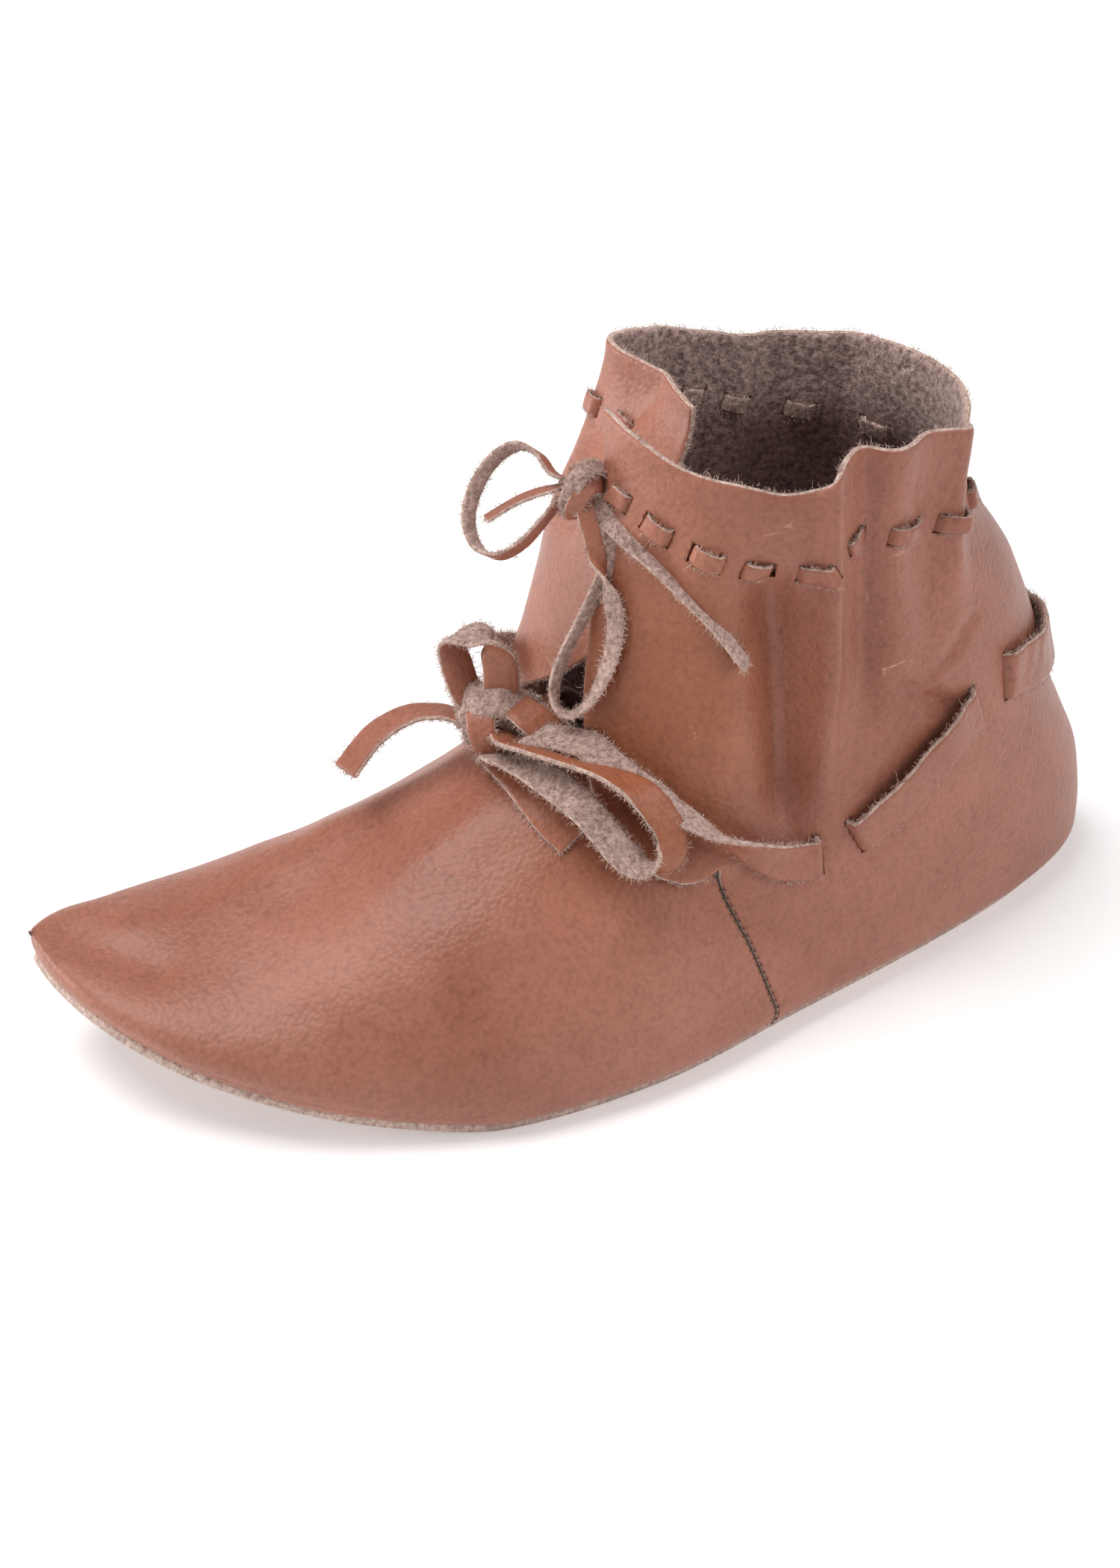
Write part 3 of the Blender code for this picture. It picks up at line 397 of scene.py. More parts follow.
# Folds of the quarters: each line runs from its low to its high end (degrees, metres), with a half
# width in degrees and a rise in metres; a ridge rises out of the leather, a trough sinks into it
FOLDS = (
    (52, 0.058, 40, 0.140, 9.0, 0.0020),
    (80, 0.054, 61, 0.128, 9.5, -0.0090),
    (87, 0.070, 74, 0.190, 4.0, 0.0046),
    (101, 0.084, 88, 0.190, 6.0, -0.0040),
    (124, 0.098, 118, 0.190, 8.0, -0.0024),
    (136, 0.112, 139, 0.190, 5.0, 0.0032),
    (112, 0.092, 137, 0.076, 4.5, -0.0026),
    (128, 0.090, 141, 0.101, 2.6, -0.0018),
    (121, 0.084, 132, 0.092, 2.4, 0.0014),
    (228, 0.080, 216, 0.190, 7.0, 0.0016),
    (262, 0.070, 258, 0.190, 8.0, -0.0024),
    (284, 0.064, 288, 0.190, 6.0, 0.0020),
)

# Folds of the vamp: each line runs between two points, with a half width and a rise, in metres
VAMP_FOLDS = (
    ((0.083, 0.001, 0.047), (0.050, -0.004, 0.062), 0.0110, -0.0022),
    ((0.078, 0.014, 0.048), (0.046, 0.026, 0.058), 0.0100, -0.0009),
    ((0.074, 0.020, 0.049), (0.040, 0.014, 0.065), 0.0090, 0.0008),
    ((0.136, -0.017, 0.038), (0.120, 0.003, 0.036), 0.0055, -0.0018),
    ((0.126, -0.014, 0.038), (0.100, -0.010, 0.042), 0.0070, 0.0010),
    ((0.040, -0.022, 0.062), (0.070, -0.026, 0.046), 0.0080, -0.0012),
)

# How far the strap turns out over its lower edge where it lies outside, in degrees, and how far that
# edge rises on the flap, in metres
STRAP_LEAN = Table(
    "direction lean rise",
    (20.4, 128, 0.0078), (33, 124, 0.0076), (43, 110, 0.0062), (51, 88, 0.0040), (59, 55, 0.0020),
    (68, 26, 0.0008), (78, 11, 0.0002), (88, 6, 0), (101, 5, 0), (112, 9, 0), (130, 9, 0), (141, 6, 0),
    (152, 5, 0), (180, 5, 0), (208, 5, 0), (219, 6, 0), (230, 9, 0), (259, 5, 0), (280, 8, 0),
    (310, 16, 0), (340, 30, 0))

# Free runs of the laces between the flaps and their knots
THONG_NEAR_RUN = ((0.0052, 0.0040, 0.1390), (0.0036, 0.0055, 0.1392))
STRAP_NEAR_RUN = ((0.0256, 0.0100, 0.0828), (0.0204, 0.0158, 0.0846))
STRAP_FAR_RUN = ((0.0190, -0.0205, 0.0870), (0.0245, -0.0145, 0.0855))

# Routes of the four free laces, each from its knot round a loop, back through the knot and to its
# cut end; left, up and out give the width direction in the photograph's plane
ROUTE = "x y z left up out"
ANKLE_LACE_FRONT = Route(
    ROUTE,
    (0.0085, 0.0005, 0.1445, 0.5, 0.1, 0.8),
    (0.0125, -0.0018, 0.1466, 0.5, 0.1, 0.8),
    (0.0140, -0.0065, 0.1495, 0.5, 0.2, 0.8),
    (0.0180, -0.0110, 0.1503, 0.6, 0.3, 0.8),
    (0.0250, -0.0120, 0.1455, 0.7, 0.2, 0.7),
    (0.0310, -0.0090, 0.1370, 0.7, 0.1, 0.7),
    (0.0315, -0.0040, 0.1305, 0.6, 0.1, 0.8),
    (0.0275, 0.0000, 0.1285, 0.4, 0.2, 0.9),
    (0.0215, 0.0010, 0.1310, 0.3, 0.3, 0.9),
    (0.0160, 0.0010, 0.1360, 0.2, 0.3, 0.9),
    (0.0118, 0.0006, 0.1402, 0.1, 0.3, 0.9),
    (0.0088, 0.0002, 0.1418, 0.0, 0.0, 1.0),
    (0.0088, -0.0004, 0.1432, 0.0, -0.2, 1.0),
    (0.0132, -0.0008, 0.1429, 0.0, -0.4, 0.9),
    (0.0170, -0.0032, 0.1412, 0.0, -0.5, 0.9),
    (0.0210, -0.0046, 0.1393, 0.0, -0.5, 0.9),
    (0.0285, -0.0048, 0.1363, 0.0, -0.5, 0.9))
ANKLE_LACE_SIDE = Route(
    ROUTE,
    (0.0075, 0.0020, 0.1436, -1.0, 0.0, -0.2),
    (0.0080, 0.0058, 0.1413, -1.0, 0.0, -0.2),
    (0.0078, 0.0087, 0.1374, -1.0, 0.0, -0.2),
    (0.0072, 0.0118, 0.1308, -1.0, 0.0, -0.1),
    (0.0066, 0.0146, 0.1256, -0.1, 0.0, -1.0),
    (0.0058, 0.0174, 0.1204, 0.9, 0.0, -0.4),
    (0.0057, 0.0193, 0.1148, 0.9, 0.0, -0.4),
    (0.0070, 0.0201, 0.1079, 0.8, 0.1, -0.6),
    (0.0100, 0.0202, 0.1001, 0.5, 0.3, -0.8),
    (0.0136, 0.0195, 0.0939, 0.2, 0.4, -0.9),
    (0.0172, 0.0175, 0.0909, 0.0, 0.4, -0.9),
    (0.0193, 0.0147, 0.0926, -0.3, 0.2, -0.9),
    (0.0186, 0.0124, 0.0975, -0.5, 0.0, -0.8),
    (0.0157, 0.0116, 0.1046, -0.5, 0.0, -0.8),
    (0.0114, 0.0118, 0.1127, -0.6, 0.0, -0.8),
    (0.0077, 0.0126, 0.1206, -0.8, 0.0, -0.6),
    (0.0053, 0.0126, 0.1266, -1.0, 0.0, -0.2),
    (0.0042, 0.0113, 0.1330, -1.0, 0.0, -0.2),
    (0.0040, 0.0084, 0.1380, -1.0, 0.0, -0.2),
    (0.0052, 0.0048, 0.1412, -0.9, 0.4, 0.0),
    (0.0064, 0.0036, 0.1420, -0.4, 0.9, 0.0),
    (0.0050, 0.0052, 0.1408, 0.6, 0.6, 0.0),
    (0.0034, 0.0091, 0.1376, 0.8, -0.4, 0.0),
    (0.0013, 0.0164, 0.1350, 0.6, -0.6, 0.5),
    (-0.0029, 0.0240, 0.1308, 0.5, -0.5, 0.7),
    (-0.0081, 0.0299, 0.1246, 0.5, -0.5, 0.7),
    (-0.0138, 0.0343, 0.1174, 0.5, -0.5, 0.7),
    (-0.0200, 0.0378, 0.1070, 0.45, -0.45, 0.8))
INSTEP_LACE_FRONT = Route(
    ROUTE,
    (0.0303, -0.0027, 0.0823, 0.7, -0.5, 0.4),
    (0.0327, -0.0048, 0.0853, 0.7, -0.5, 0.4),
    (0.0343, -0.0064, 0.0883, 0.7, -0.4, 0.4),
    (0.0352, -0.0082, 0.0925, 0.7, -0.4, 0.4),
    (0.0358, -0.0097, 0.0963, 0.7, -0.5, 0.4),
    (0.0359, -0.0106, 0.0993, 0.7, -0.5, 0.4),
    (0.0351, -0.0103, 0.1016, 0.7, -0.5, 0.4),
    (0.0333, -0.0084, 0.1030, 0.7, -0.5, 0.4),
    (0.0313, -0.0061, 0.1036, 0.6, -0.6, 0.5),
    (0.0297, -0.0041, 0.1034, 0.2, -0.5, 0.8),
    (0.0288, -0.0026, 0.1021, -0.5, -0.2, 0.8),
    (0.0280, -0.0014, 0.0997, -0.9, 0.0, 0.4),
    (0.0273, -0.0004, 0.0964, -1.0, 0.0, 0.1),
    (0.0274, -0.0002, 0.0914, -1.0, 0.0, 0.0),
    (0.0283, -0.0012, 0.0861, -0.8, -0.5, 0.0),
    (0.0300, -0.0034, 0.0829, -0.4, -0.9, 0.2),
    (0.0319, -0.0046, 0.0817, 0.0, -0.9, 0.5),
    (0.0364, -0.0073, 0.0809, 0.0, -0.4, 0.9),
    (0.0404, -0.0105, 0.0809, -0.1, -0.4, 0.9),
    (0.0472, -0.0135, 0.0799, -0.2, -0.5, 0.8),
    (0.0560, -0.0142, 0.0758, -0.3, -0.6, 0.7),
    (0.0648, -0.0115, 0.0692, -0.4, -0.6, 0.6))
INSTEP_LACE_SIDE = Route(
    ROUTE,
    (0.0267, 0.0030, 0.0800, -0.8, -0.1, -0.5),
    (0.0302, 0.0108, 0.0820, -0.8, -0.1, -0.5),
    (0.0262, 0.0180, 0.0832, -0.8, 0.0, -0.6),
    (0.0216, 0.0246, 0.0836, -0.8, 0.0, -0.6),
    (0.0146, 0.0328, 0.0830, -0.8, 0.0, -0.6),
    (0.0083, 0.0384, 0.0796, -0.8, 0.0, -0.5),
    (0.0040, 0.0420, 0.0732, -0.8, -0.1, -0.5),
    (0.0022, 0.0446, 0.0675, -0.8, -0.1, -0.5),
    (0.0050, 0.0466, 0.0634, -0.8, 0.0, -0.6),
    (0.0108, 0.0458, 0.0632, -0.7, 0.3, -0.6),
    (0.0152, 0.0434, 0.0666, -0.6, 0.5, -0.5),
    (0.0182, 0.0390, 0.0714, -0.5, 0.7, -0.5),
    (0.0212, 0.0332, 0.0757, -0.5, 0.7, -0.4),
    (0.0246, 0.0256, 0.0780, -0.5, 0.7, -0.4),
    (0.0284, 0.0164, 0.0786, -0.6, 0.5, -0.5),
    (0.0320, 0.0104, 0.0776, -0.8, 0.1, -0.5),
    (0.0312, 0.0040, 0.0752, -0.8, 0.4, -0.3),
    (0.0288, 0.0075, 0.0722, -0.8, 0.5, 0.0),
    (0.0276, 0.0151, 0.0708, -0.8, 0.5, 0.0),
    (0.0261, 0.0239, 0.0681, -0.8, 0.5, 0.0),
    (0.0225, 0.0317, 0.0642, -0.8, 0.5, 0.0))

# Bands wound round the knots: places from the knot's centre in the photograph's plane
WRAP = "left up out"
WRAP_DEPTH = 0.006
FRONT_TAPER = 0.5
ANKLE_KNOT = np.array((0.0080, 0.0010, 0.1425))
ANKLE_WRAP_OVER = Route(
    WRAP, (-0.0066, 0.0040, -0.0030), (-0.0062, 0.0050, 0.0005), (-0.0036, 0.0048, 0.0042),
    (-0.0010, 0.0024, 0.0058), (0.0008, -0.0010, 0.0052), (0.0016, -0.0038, 0.0030),
    (0.0012, -0.0058, -0.0010))
ANKLE_WRAP_BESIDE = Route(
    WRAP, (-0.0064, 0.0002, -0.0030), (-0.0060, 0.0010, 0.0008), (-0.0038, 0.0004, 0.0044),
    (-0.0012, -0.0024, 0.0050), (0.0002, -0.0052, 0.0030), (0.0000, -0.0066, -0.0010))
ANKLE_CORE = Route(
    WRAP, (0.0012, 0.0034, 0.0000), (-0.0020, 0.0030, 0.0030), (-0.0052, 0.0024, 0.0000),
    (-0.0020, 0.0016, -0.0030), (0.0014, 0.0006, 0.0000), (-0.0018, -0.0004, 0.0032),
    (-0.0050, -0.0012, 0.0000), (-0.0018, -0.0022, -0.0030), (0.0012, -0.0030, 0.0000),
    (-0.0018, -0.0036, 0.0028), (-0.0044, -0.0040, 0.0000))
INSTEP_KNOT = np.array((0.0290, -0.0020, 0.0805))
INSTEP_WRAP_TOP = Route(
    WRAP, (-0.0110, 0.0010, 0.0015), (-0.0082, 0.0030, 0.0048), (-0.0018, 0.0044, 0.0080),
    (0.0046, 0.0052, 0.0058), (0.0078, 0.0036, 0.0024), (0.0088, 0.0014, -0.0016))
INSTEP_WRAP_FRONT = Route(
    WRAP, (0.0026, 0.0052, 0.0040), (0.0027, 0.0014, 0.0076), (0.0024, -0.0034, 0.0084),
    (0.0008, -0.0074, 0.0066), (-0.0020, -0.0104, 0.0026), (-0.0034, -0.0110, -0.0020))
INSTEP_WRAP_SIDE = Route(
    WRAP, (-0.0022, 0.0050, 0.0030), (-0.0066, 0.0026, 0.0074), (-0.0106, -0.0004, 0.0090),
    (-0.0144, -0.0034, 0.0074), (-0.0164, -0.0052, 0.0030), (-0.0160, -0.0056, -0.0020))
INSTEP_CORE = Route(
    WRAP, (0.0050, 0.0040, 0.0010), (0.0038, 0.0004, 0.0050), (0.0024, -0.0050, 0.0010),
    (0.0008, 0.0000, -0.0036), (-0.0010, 0.0042, 0.0010), (-0.0028, 0.0004, 0.0056),
    (-0.0046, -0.0056, 0.0010), (-0.0062, 0.0000, -0.0036), (-0.0080, 0.0036, 0.0010),
    (-0.0096, -0.0004, 0.0050), (-0.0110, -0.0050, 0.0010), (-0.0120, -0.0010, -0.0030))

# Edges and flesh faces that carry loose fibres, gathered while the pieces are made
fuzzy_edges = {"upper_leather": [], "lace_leather": []}
fuzzy_faces = []


def stack(*columns):
    return np.stack(np.broadcast_arrays(*columns), axis=-1)


def unit(vectors):
    return vectors / np.linalg.norm(vectors, axis=-1, keepdims=True)


def run_length(points):
    """Distance along a line to each of its points."""
    return np.concatenate([[0], np.cumsum(np.linalg.norm(np.diff(points, axis=0), axis=1))])


def read_along(distance, values, place):
    """Vectors given at distances along a line, read at places between them."""
    return np.stack([np.interp(place, distance, values[:, axis]) for axis in range(3)], -1)


def ease(value, low, high):
    """0 below low, 1 above high, smooth between."""
    t = np.clip((value - low) / (high - low), 0, 1)
    return t * t * (3 - 2 * t)


def outline(u, side):
    """Widest line in plan; side is +1 on the outer and -1 on the inner edge."""
    x = HEEL_X + LENGTH * (1 - np.cos(np.pi * u)) / 2
    share = np.where(side > 0, OUTLINE.at("outer", u), OUTLINE.at("inner", u))
    return stack(x, BALL_WIDTH * share)


def outline_normal(u, side):
    """Outward direction of the widest line in plan."""
    ahead, behind = np.minimum(u + TURN_STEP, 1), np.maximum(u - TURN_STEP, 0)
    along = unit(outline(ahead, side) - outline(behind, side))
    normal = stack(-along[..., 1] * side, along[..., 0] * side)
    heel, tip = (u < TURN_STEP)[..., None], (u > 1 - TURN_STEP)[..., None]
    return np.where(heel, (-1.0, 0.0), np.where(tip, (1.0, 0.0), normal))


def lift(x):
    """Rise of the sole towards the toe."""
    return LENGTH * np.maximum(OUTLINE.at("lift", turn((x - HEEL_X) / LENGTH)), 0)


def rolled(u, side, angle):
    """Lower edge of the upper; angle 0 is at the widest line, ROLL_ANGLE at the sole."""
    radius = ROLL * OUTLINE.at("roll", u)
    plan = outline(u, side) - outline_normal(u, side) * (radius * (1 - np.cos(angle)))[..., None]
    height = lift(plan[..., 0]) + EDGE_HEIGHT + radius * (1 - np.sin(angle))
    return stack(plan[..., 0], plan[..., 1], height)


def arch(share, angle):
    """Vamp section; angle 0 at the outer widest line, 90 degrees at the ridge, 180 at the inner one."""
    u = turn(VAMP.at("floor", share))
    foot = rolled(u, np.where(angle <= np.pi / 2, 1, -1), np.zeros_like(u))
    ridge = stack(HEEL_X + LENGTH * VAMP.at("ridge", share), BALL_WIDTH * VAMP.at("offset", share),
                  INSTEP_HEIGHT * VAMP.at("height", share))
    rise = np.sin(angle) ** VAMP_FULLNESS
    spread = np.abs(np.cos(angle)) ** VAMP_FULLNESS
    return stack(foot[..., 0] + (ridge[..., 0] - foot[..., 0]) * rise,
                 ridge[..., 1] + (foot[..., 1] - ridge[..., 1]) * spread,
                 foot[..., 2] + (ridge[..., 2] - foot[..., 2]) * rise)


def heel_line():
    """Heel part of the widest line seen from the heel's centre: direction, distance and parameter."""
    half = np.linspace(0, HEEL_SHARE, HEEL_SAMPLES)
    u = np.concatenate([half[::-1], half[1:]])
    side = np.concatenate([np.ones(len(half)), -np.ones(len(half) - 1)])
    plan = outline(u, side) - (HEEL_X + LENGTH * RING.column["centre"][0], 0)
    direction = np.degrees(np.arctan2(plan[:, 1], plan[:, 0])) % 360
    return direction, np.hypot(plan[:, 0], plan[:, 1]), u


HEEL_DIRECTION, HEEL_DISTANCE, HEEL_U = heel_line()


def tuck(height, direction):
    """How far the far flap lies inside the ring, more towards its front end and its top."""
    near_front = ease(direction, TUCK_FROM, TUCK_TO)
    return near_front * (TUCK_LOW + TUCK_HIGH * ease(height, TUCK_FOOT, TUCK_HEAD))


def shaft(height, direction):
    """Outer surface of the quarters at a height and a direction."""
    height, direction = np.broadcast_arrays(np.asarray(height, float), np.asarray(direction, float))
    share = height / COLLAR_HEIGHT
    cosine, sine = np.cos(np.radians(direction)), np.sin(np.radians(direction))
    along = LENGTH * np.where(cosine > 0, RING.at("front", share), RING.at("back", share))
    across = BALL_WIDTH * np.where(sine > 0, RING.at("outer", share), RING.at("inner", share))
    far_front = (cosine > 0) & (sine < 0)
    square = ease(height, SQUARE_FOOT, SQUARE_HEAD) - ROUND_SHARE * ease(height, ROUND_FOOT, ROUND_HEAD)
    power = np.where(far_front, 2 + (FAR_FRONT_POWER - 2) * square, 2.0)
    ring = (np.abs(cosine / along) ** power + np.abs(sine / across) ** power) ** (-1 / power)
    heel = np.interp(direction % 360, HEEL_DIRECTION, HEEL_DISTANCE)
    distance = heel + (ring - heel) * RING.at("leave", share) - tuck(height, direction)
    centre = HEEL_X + LENGTH * RING.at("centre", share)
    return stack(centre + distance * cosine, distance * sine, height)


def rim(direction):
    """Height of the collar's edge."""
    return COLLAR_HEIGHT * RIM.at("height", direction)


def shaft_normal(height, direction):
    """Outward unit normal of the quarters, by small differences."""
    height, direction = np.asarray(height, float), np.asarray(direction, float)
    upward = shaft(height + HEIGHT_STEP, direction) - shaft(height - HEIGHT_STEP, direction)
    onward = shaft(height, direction + DIRECTION_STEP) - shaft(height, direction - DIRECTION_STEP)
    return unit(np.cross(onward, upward))


def fold_rise(height, direction):
    """How far the folds move the quarters outwards."""
    rise = np.zeros(np.broadcast(height, direction).shape)
    for low_direction, low_height, high_direction, high_height, half_width, depth in FOLDS:
        along = (height - low_height) / (high_height - low_height)
        line = low_direction + (high_direction - low_direction) * np.clip(along, 0, 1)
        aside = ((direction - line + 180) % 360 - 180) / half_width
        ends = ease(along, *FOLD_FOOT) * (1 - ease(along, *FOLD_HEAD))
        rise = rise + depth * np.exp(-aside ** 2) * ends
    return rise


def vamp_rise(points):
    """How far the folds move the vamp outwards."""
    rise = np.zeros(points.shape[:-1])
    for start, end, half_width, depth in VAMP_FOLDS:
        run = np.subtract(end, start)
        along = np.clip(((points - start) @ run) / (run @ run), 0, 1)
        aside = np.linalg.norm(points - start - along[..., None] * run, axis=-1) / half_width
        rise = rise + depth * np.exp(-aside ** 2)
    return rise


def crinkle(points):
    """Small irregular undulation of soft leather."""
    flat = points.reshape(-1, 3) / CRINKLE_SIZE
    values = [noise.noise(Vector(place)) + CRINKLE_FINE_SHARE * noise.noise(Vector(place * CRINKLE_FINER))
              for place in flat]
    return CRINKLE_DEPTH * np.array(values).reshape(points.shape[:-1])


def folded_shaft(height, direction):
    """Outer surface of the quarters with its folds."""
    place = shaft(height, direction)
    rise = fold_rise(height, direction) + crinkle(place)
    return place + shaft_normal(height, direction) * rise[..., None]


def shaft_rows(directions, hem):
    """Rows of the quarters from a lower edge, one height per column, up to the rim."""
    top = rim(directions(COLLAR_HEIGHT))
    height = hem + (top - hem) * np.linspace(0, 1, SHAFT_STEPS + 1)[:, None]
    return folded_shaft(height, directions(height))


def quarter_grid():
    """Heel part between the seams; rows from the sole edge to the rim, columns from near to far."""
    share = np.linspace(0, 1, QUARTER_STEPS + 1)

    def directions(height):
        start = SEAM.at("direction", height)
        return start + (360 - 2 * start) * share

    heights = np.linspace(EDGE_HEIGHT + ROLL, SEAM_TOP, SEAM_STEPS + 1)[:, None]
    low = directions(heights[0])
    u = np.interp(low, HEEL_DIRECTION, HEEL_U)
    side = np.where(low < 180, 1, -1)
    roll_rows = [rolled(u, side, angle) for angle in np.linspace(ROLL_ANGLE, 0, ROLL_STEPS + 1)]
    seam_rows = folded_shaft(heights[1:], directions(heights[1:]))
    return np.concatenate([roll_rows, seam_rows, shaft_rows(directions, np.full(share.shape, FLAP_START))])


def flap_grid(edge, hem, start_of, steps):
    """Free front part of one quarter, from its seam column to its front edge."""
    share = np.linspace(0, 1, steps + 1)

    def directions(height):
        start = start_of(SEAM.at("direction", height))
        return start + (edge.at("direction", height) - start) * share

    return shaft_rows(directions, hem.at("height", share))


def vamp_grid(near_side, far_side):
    """Front part; a row for each section, from the outer sole edge over the ridge to the inner one.

    The sections next to the throat move so that the first one meets the quarters along both seams.
    """
    heights = np.linspace(EDGE_HEIGHT + ROLL, SEAM_TOP, SEAM_STEPS + 1)
    rise = (heights - heights[0]) / (INSTEP_HEIGHT - heights[0])
    seam_angles = np.arcsin(rise ** (1 / VAMP_FULLNESS))
    throat_angles = np.linspace(seam_angles[-1], np.pi / 2, THROAT_STEPS + 1)[1:]
    outer = np.concatenate([seam_angles, throat_angles])
    angles = np.concatenate([outer, np.pi - outer[-2::-1]])
    rolls = np.linspace(ROLL_ANGLE, 0, ROLL_STEPS + 1)[:-1]
    sections = []
    shares = 1 - np.linspace(1, 0, VAMP_STEPS + 1) ** VAMP_CROWDING
    for share in shares:
        u = np.full(rolls.shape, turn(VAMP.at("floor", share)))
        near_roll = rolled(u, np.ones(rolls.shape), rolls)
        far_roll = rolled(u, -np.ones(rolls.shape), rolls)[::-1]
        over = arch(np.full(angles.shape, share), angles)
        sections.append(np.concatenate([near_roll, over, far_roll]))
    grid = np.array(sections)
    count = len(near_side)
    move = np.zeros_like(grid[0])
    move[:count] = near_side - grid[0, :count]
    move[-count:] = far_side[::-1] - grid[0, -count:]
    throat = np.linspace(0, 1, len(move) - 2 * count + 2)[1:-1, None]
    near_share, far_share = 1 - ease(throat, 0, THROAT_MIDDLE), ease(throat, THROAT_MIDDLE, 1)
    move[count:-count] = move[count - 1] * near_share + move[-count] * far_share
    fade = 1 - ease(shares, 0, SEAM_FADE)
    return grid + fade[:, None, None] * move


def grid_normals(grid):
    """Unit normals of a grid of points; those of the vamp and the laces face outwards."""
    normal = np.cross(np.gradient(grid, axis=1), np.gradient(grid, axis=0))
    length = np.linalg.norm(normal, axis=-1, keepdims=True)
    return normal / np.maximum(length, TINY)


def outward_normals(grid):
    """Normals of a grid of the quarters, away from the boot's middle."""
    normals = grid_normals(grid)
    facing = (normals * (grid - np.array((AXIS_X, 0, AXIS_Z)))).sum()
    return normals * np.sign(facing)


class Clearance:
    """Moves points outwards until they lie clear of the vamp's rear half."""

    def __init__(self, grid):
        part = grid[:len(grid) // 2, ::2]
        self.points = part.reshape(-1, 3)
        self.normals = grid_normals(part).reshape(-1, 3)

    def __call__(self, points):
        flat = points.reshape(-1, 3)
        nearest = np.array([np.argmin(((self.points - p) ** 2).sum(1)) for p in flat])
        offset, normal = flat - self.points[nearest], self.normals[nearest]
        above = (offset * normal).sum(1)
        beside = np.linalg.norm(offset - normal * above[:, None], axis=1)
        push = np.maximum(FLAP_CLEARANCE - above, 0) * (1 - ease(beside, PUSH_FULL, PUSH_END))
        return (flat + normal * push[:, None]).reshape(points.shape)


class UpperSurface:
    """Grids of the vamp and of the quarters, and places on the quarters' outer face."""

    def __init__(self):
        quarter = quarter_grid()
        self.seam_rows = side = ROLL_STEPS + 1 + SEAM_STEPS
        vamp = vamp_grid(quarter[:side, 0], quarter[:side, -1])
        free = ease(np.arange(len(vamp)), 0, SEAM_FREE_ROWS)
        rise = vamp_rise(vamp) + crinkle(vamp)
        self.vamp = vamp + grid_normals(vamp) * (rise * free[:, None])[..., None]
        self.clear = Clearance(self.vamp)
        near = flap_grid(NEAR_EDGE, NEAR_HEM, lambda start: start, NEAR_FLAP_STEPS)
        far = flap_grid(FAR_EDGE, FAR_HEM, lambda start: 360 - start, FAR_FLAP_STEPS)
        quarter[side:] = self.clear(quarter[side:])
        self.quarters = [quarter, self.clear(near), self.clear(far)]

    def place(self, height, direction):
        return self.clear(folded_shaft(height, direction))


def finished_mesh(name, shape):
    """Mesh of a bmesh that is done with."""
    mesh = bpy.data.meshes.new(name)
    shape.to_mesh(mesh)
    shape.free()
    return mesh


def bridge(shape, rows):
    """Faces between neighbouring rows of corners."""
    for low, high in zip(rows, rows[1:]):
        for corners in zip(low, low[1:], high[1:], high):
            shape.faces.new(corners)


def grid_mesh(name, grids, outward):
    """One welded mesh from grids of points; outward tells whether a normal at a point faces out."""
    shape = bmesh.new()
    for grid in grids:
        bridge(shape, [[shape.verts.new(point) for point in row] for row in grid])
    bmesh.ops.remove_doubles(shape, verts=shape.verts, dist=WELD)
    bmesh.ops.dissolve_degenerate(shape, edges=shape.edges, dist=WELD)
    bmesh.ops.recalc_face_normals(shape, faces=shape.faces)
    facing = sum(outward(face.calc_center_median(), face.normal) * face.calc_area() for face in shape.faces)
    if facing < 0:
        bmesh.ops.reverse_faces(shape, faces=shape.faces)
    mesh = finished_mesh(name, shape)
    mesh.shade_smooth()
    return mesh


def add_object(name, data):
    thing = bpy.data.objects.new(name, data)
    bpy.context.scene.collection.objects.link(thing)
    return thing


def new_piece(name, mesh, materials, slot, *nodes):
    """A visible piece on the boot's one body; nodes are the CAD solids that it stands for."""
    for material in materials:
        mesh.materials.append(material)
    piece = add_object(name, mesh)
    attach(piece, "root")
    if nodes:
        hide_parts(*nodes)
    return piece


def thicken(piece, thickness, offset):
    """Leather with a flesh side and cut edges: the second and third material."""
    solid = piece.modifiers.new("thickness", "SOLIDIFY")
    solid.thickness = thickness
    solid.offset = offset
    solid.material_offset = 1
    solid.material_offset_rim = 2
    return solid


def soften(piece):
    """Rounded edges."""
    smooth = piece.modifiers.new("soft edges", "SUBSURF")
    smooth.levels = SUBDIVISION
    smooth.render_levels = SUBDIVISION


def skive_toe(vamp, solid):
    """Thin the leather towards the toe tip, where the two sides meet."""
    group = vamp.vertex_groups.new(name="wall")
    for vertex in vamp.data.vertices:
        behind_tip = HEEL_X + LENGTH - vertex.co.x
        share = TIP_WALL_SHARE + (1 - TIP_WALL_SHARE) * float(ease(behind_tip, 0, SKIVE_LENGTH))
        group.add([vertex.index], share, "REPLACE")
    solid.vertex_group = group.name


def from_axis(centre, normal):
    """Positive where a normal faces away from the boot's middle."""
    return normal.x * (centre.x - AXIS_X) + normal.y * centre.y + normal.z * (centre.z - AXIS_Z)


def make_vamp(surface, leather):
    vamp = new_piece("vamp", grid_mesh("vamp", [surface.vamp], from_axis), leather, "upper_leather")
    skive_toe(vamp, thicken(vamp, WALL, -1))
    soften(vamp)


def make_quarters(surface, slits, leather):
    mesh = grid_mesh("quarters", surface.quarters, from_axis)
    quarters = new_piece("quarters", mesh, leather, "upper_leather", "upper")
    thicken(quarters, WALL, -1)
    soften(quarters)
    cut = quarters.modifiers.new("slits", "BOOLEAN")
    cut.operation = "DIFFERENCE"
    cut.object = slits
    cut.use_self = True


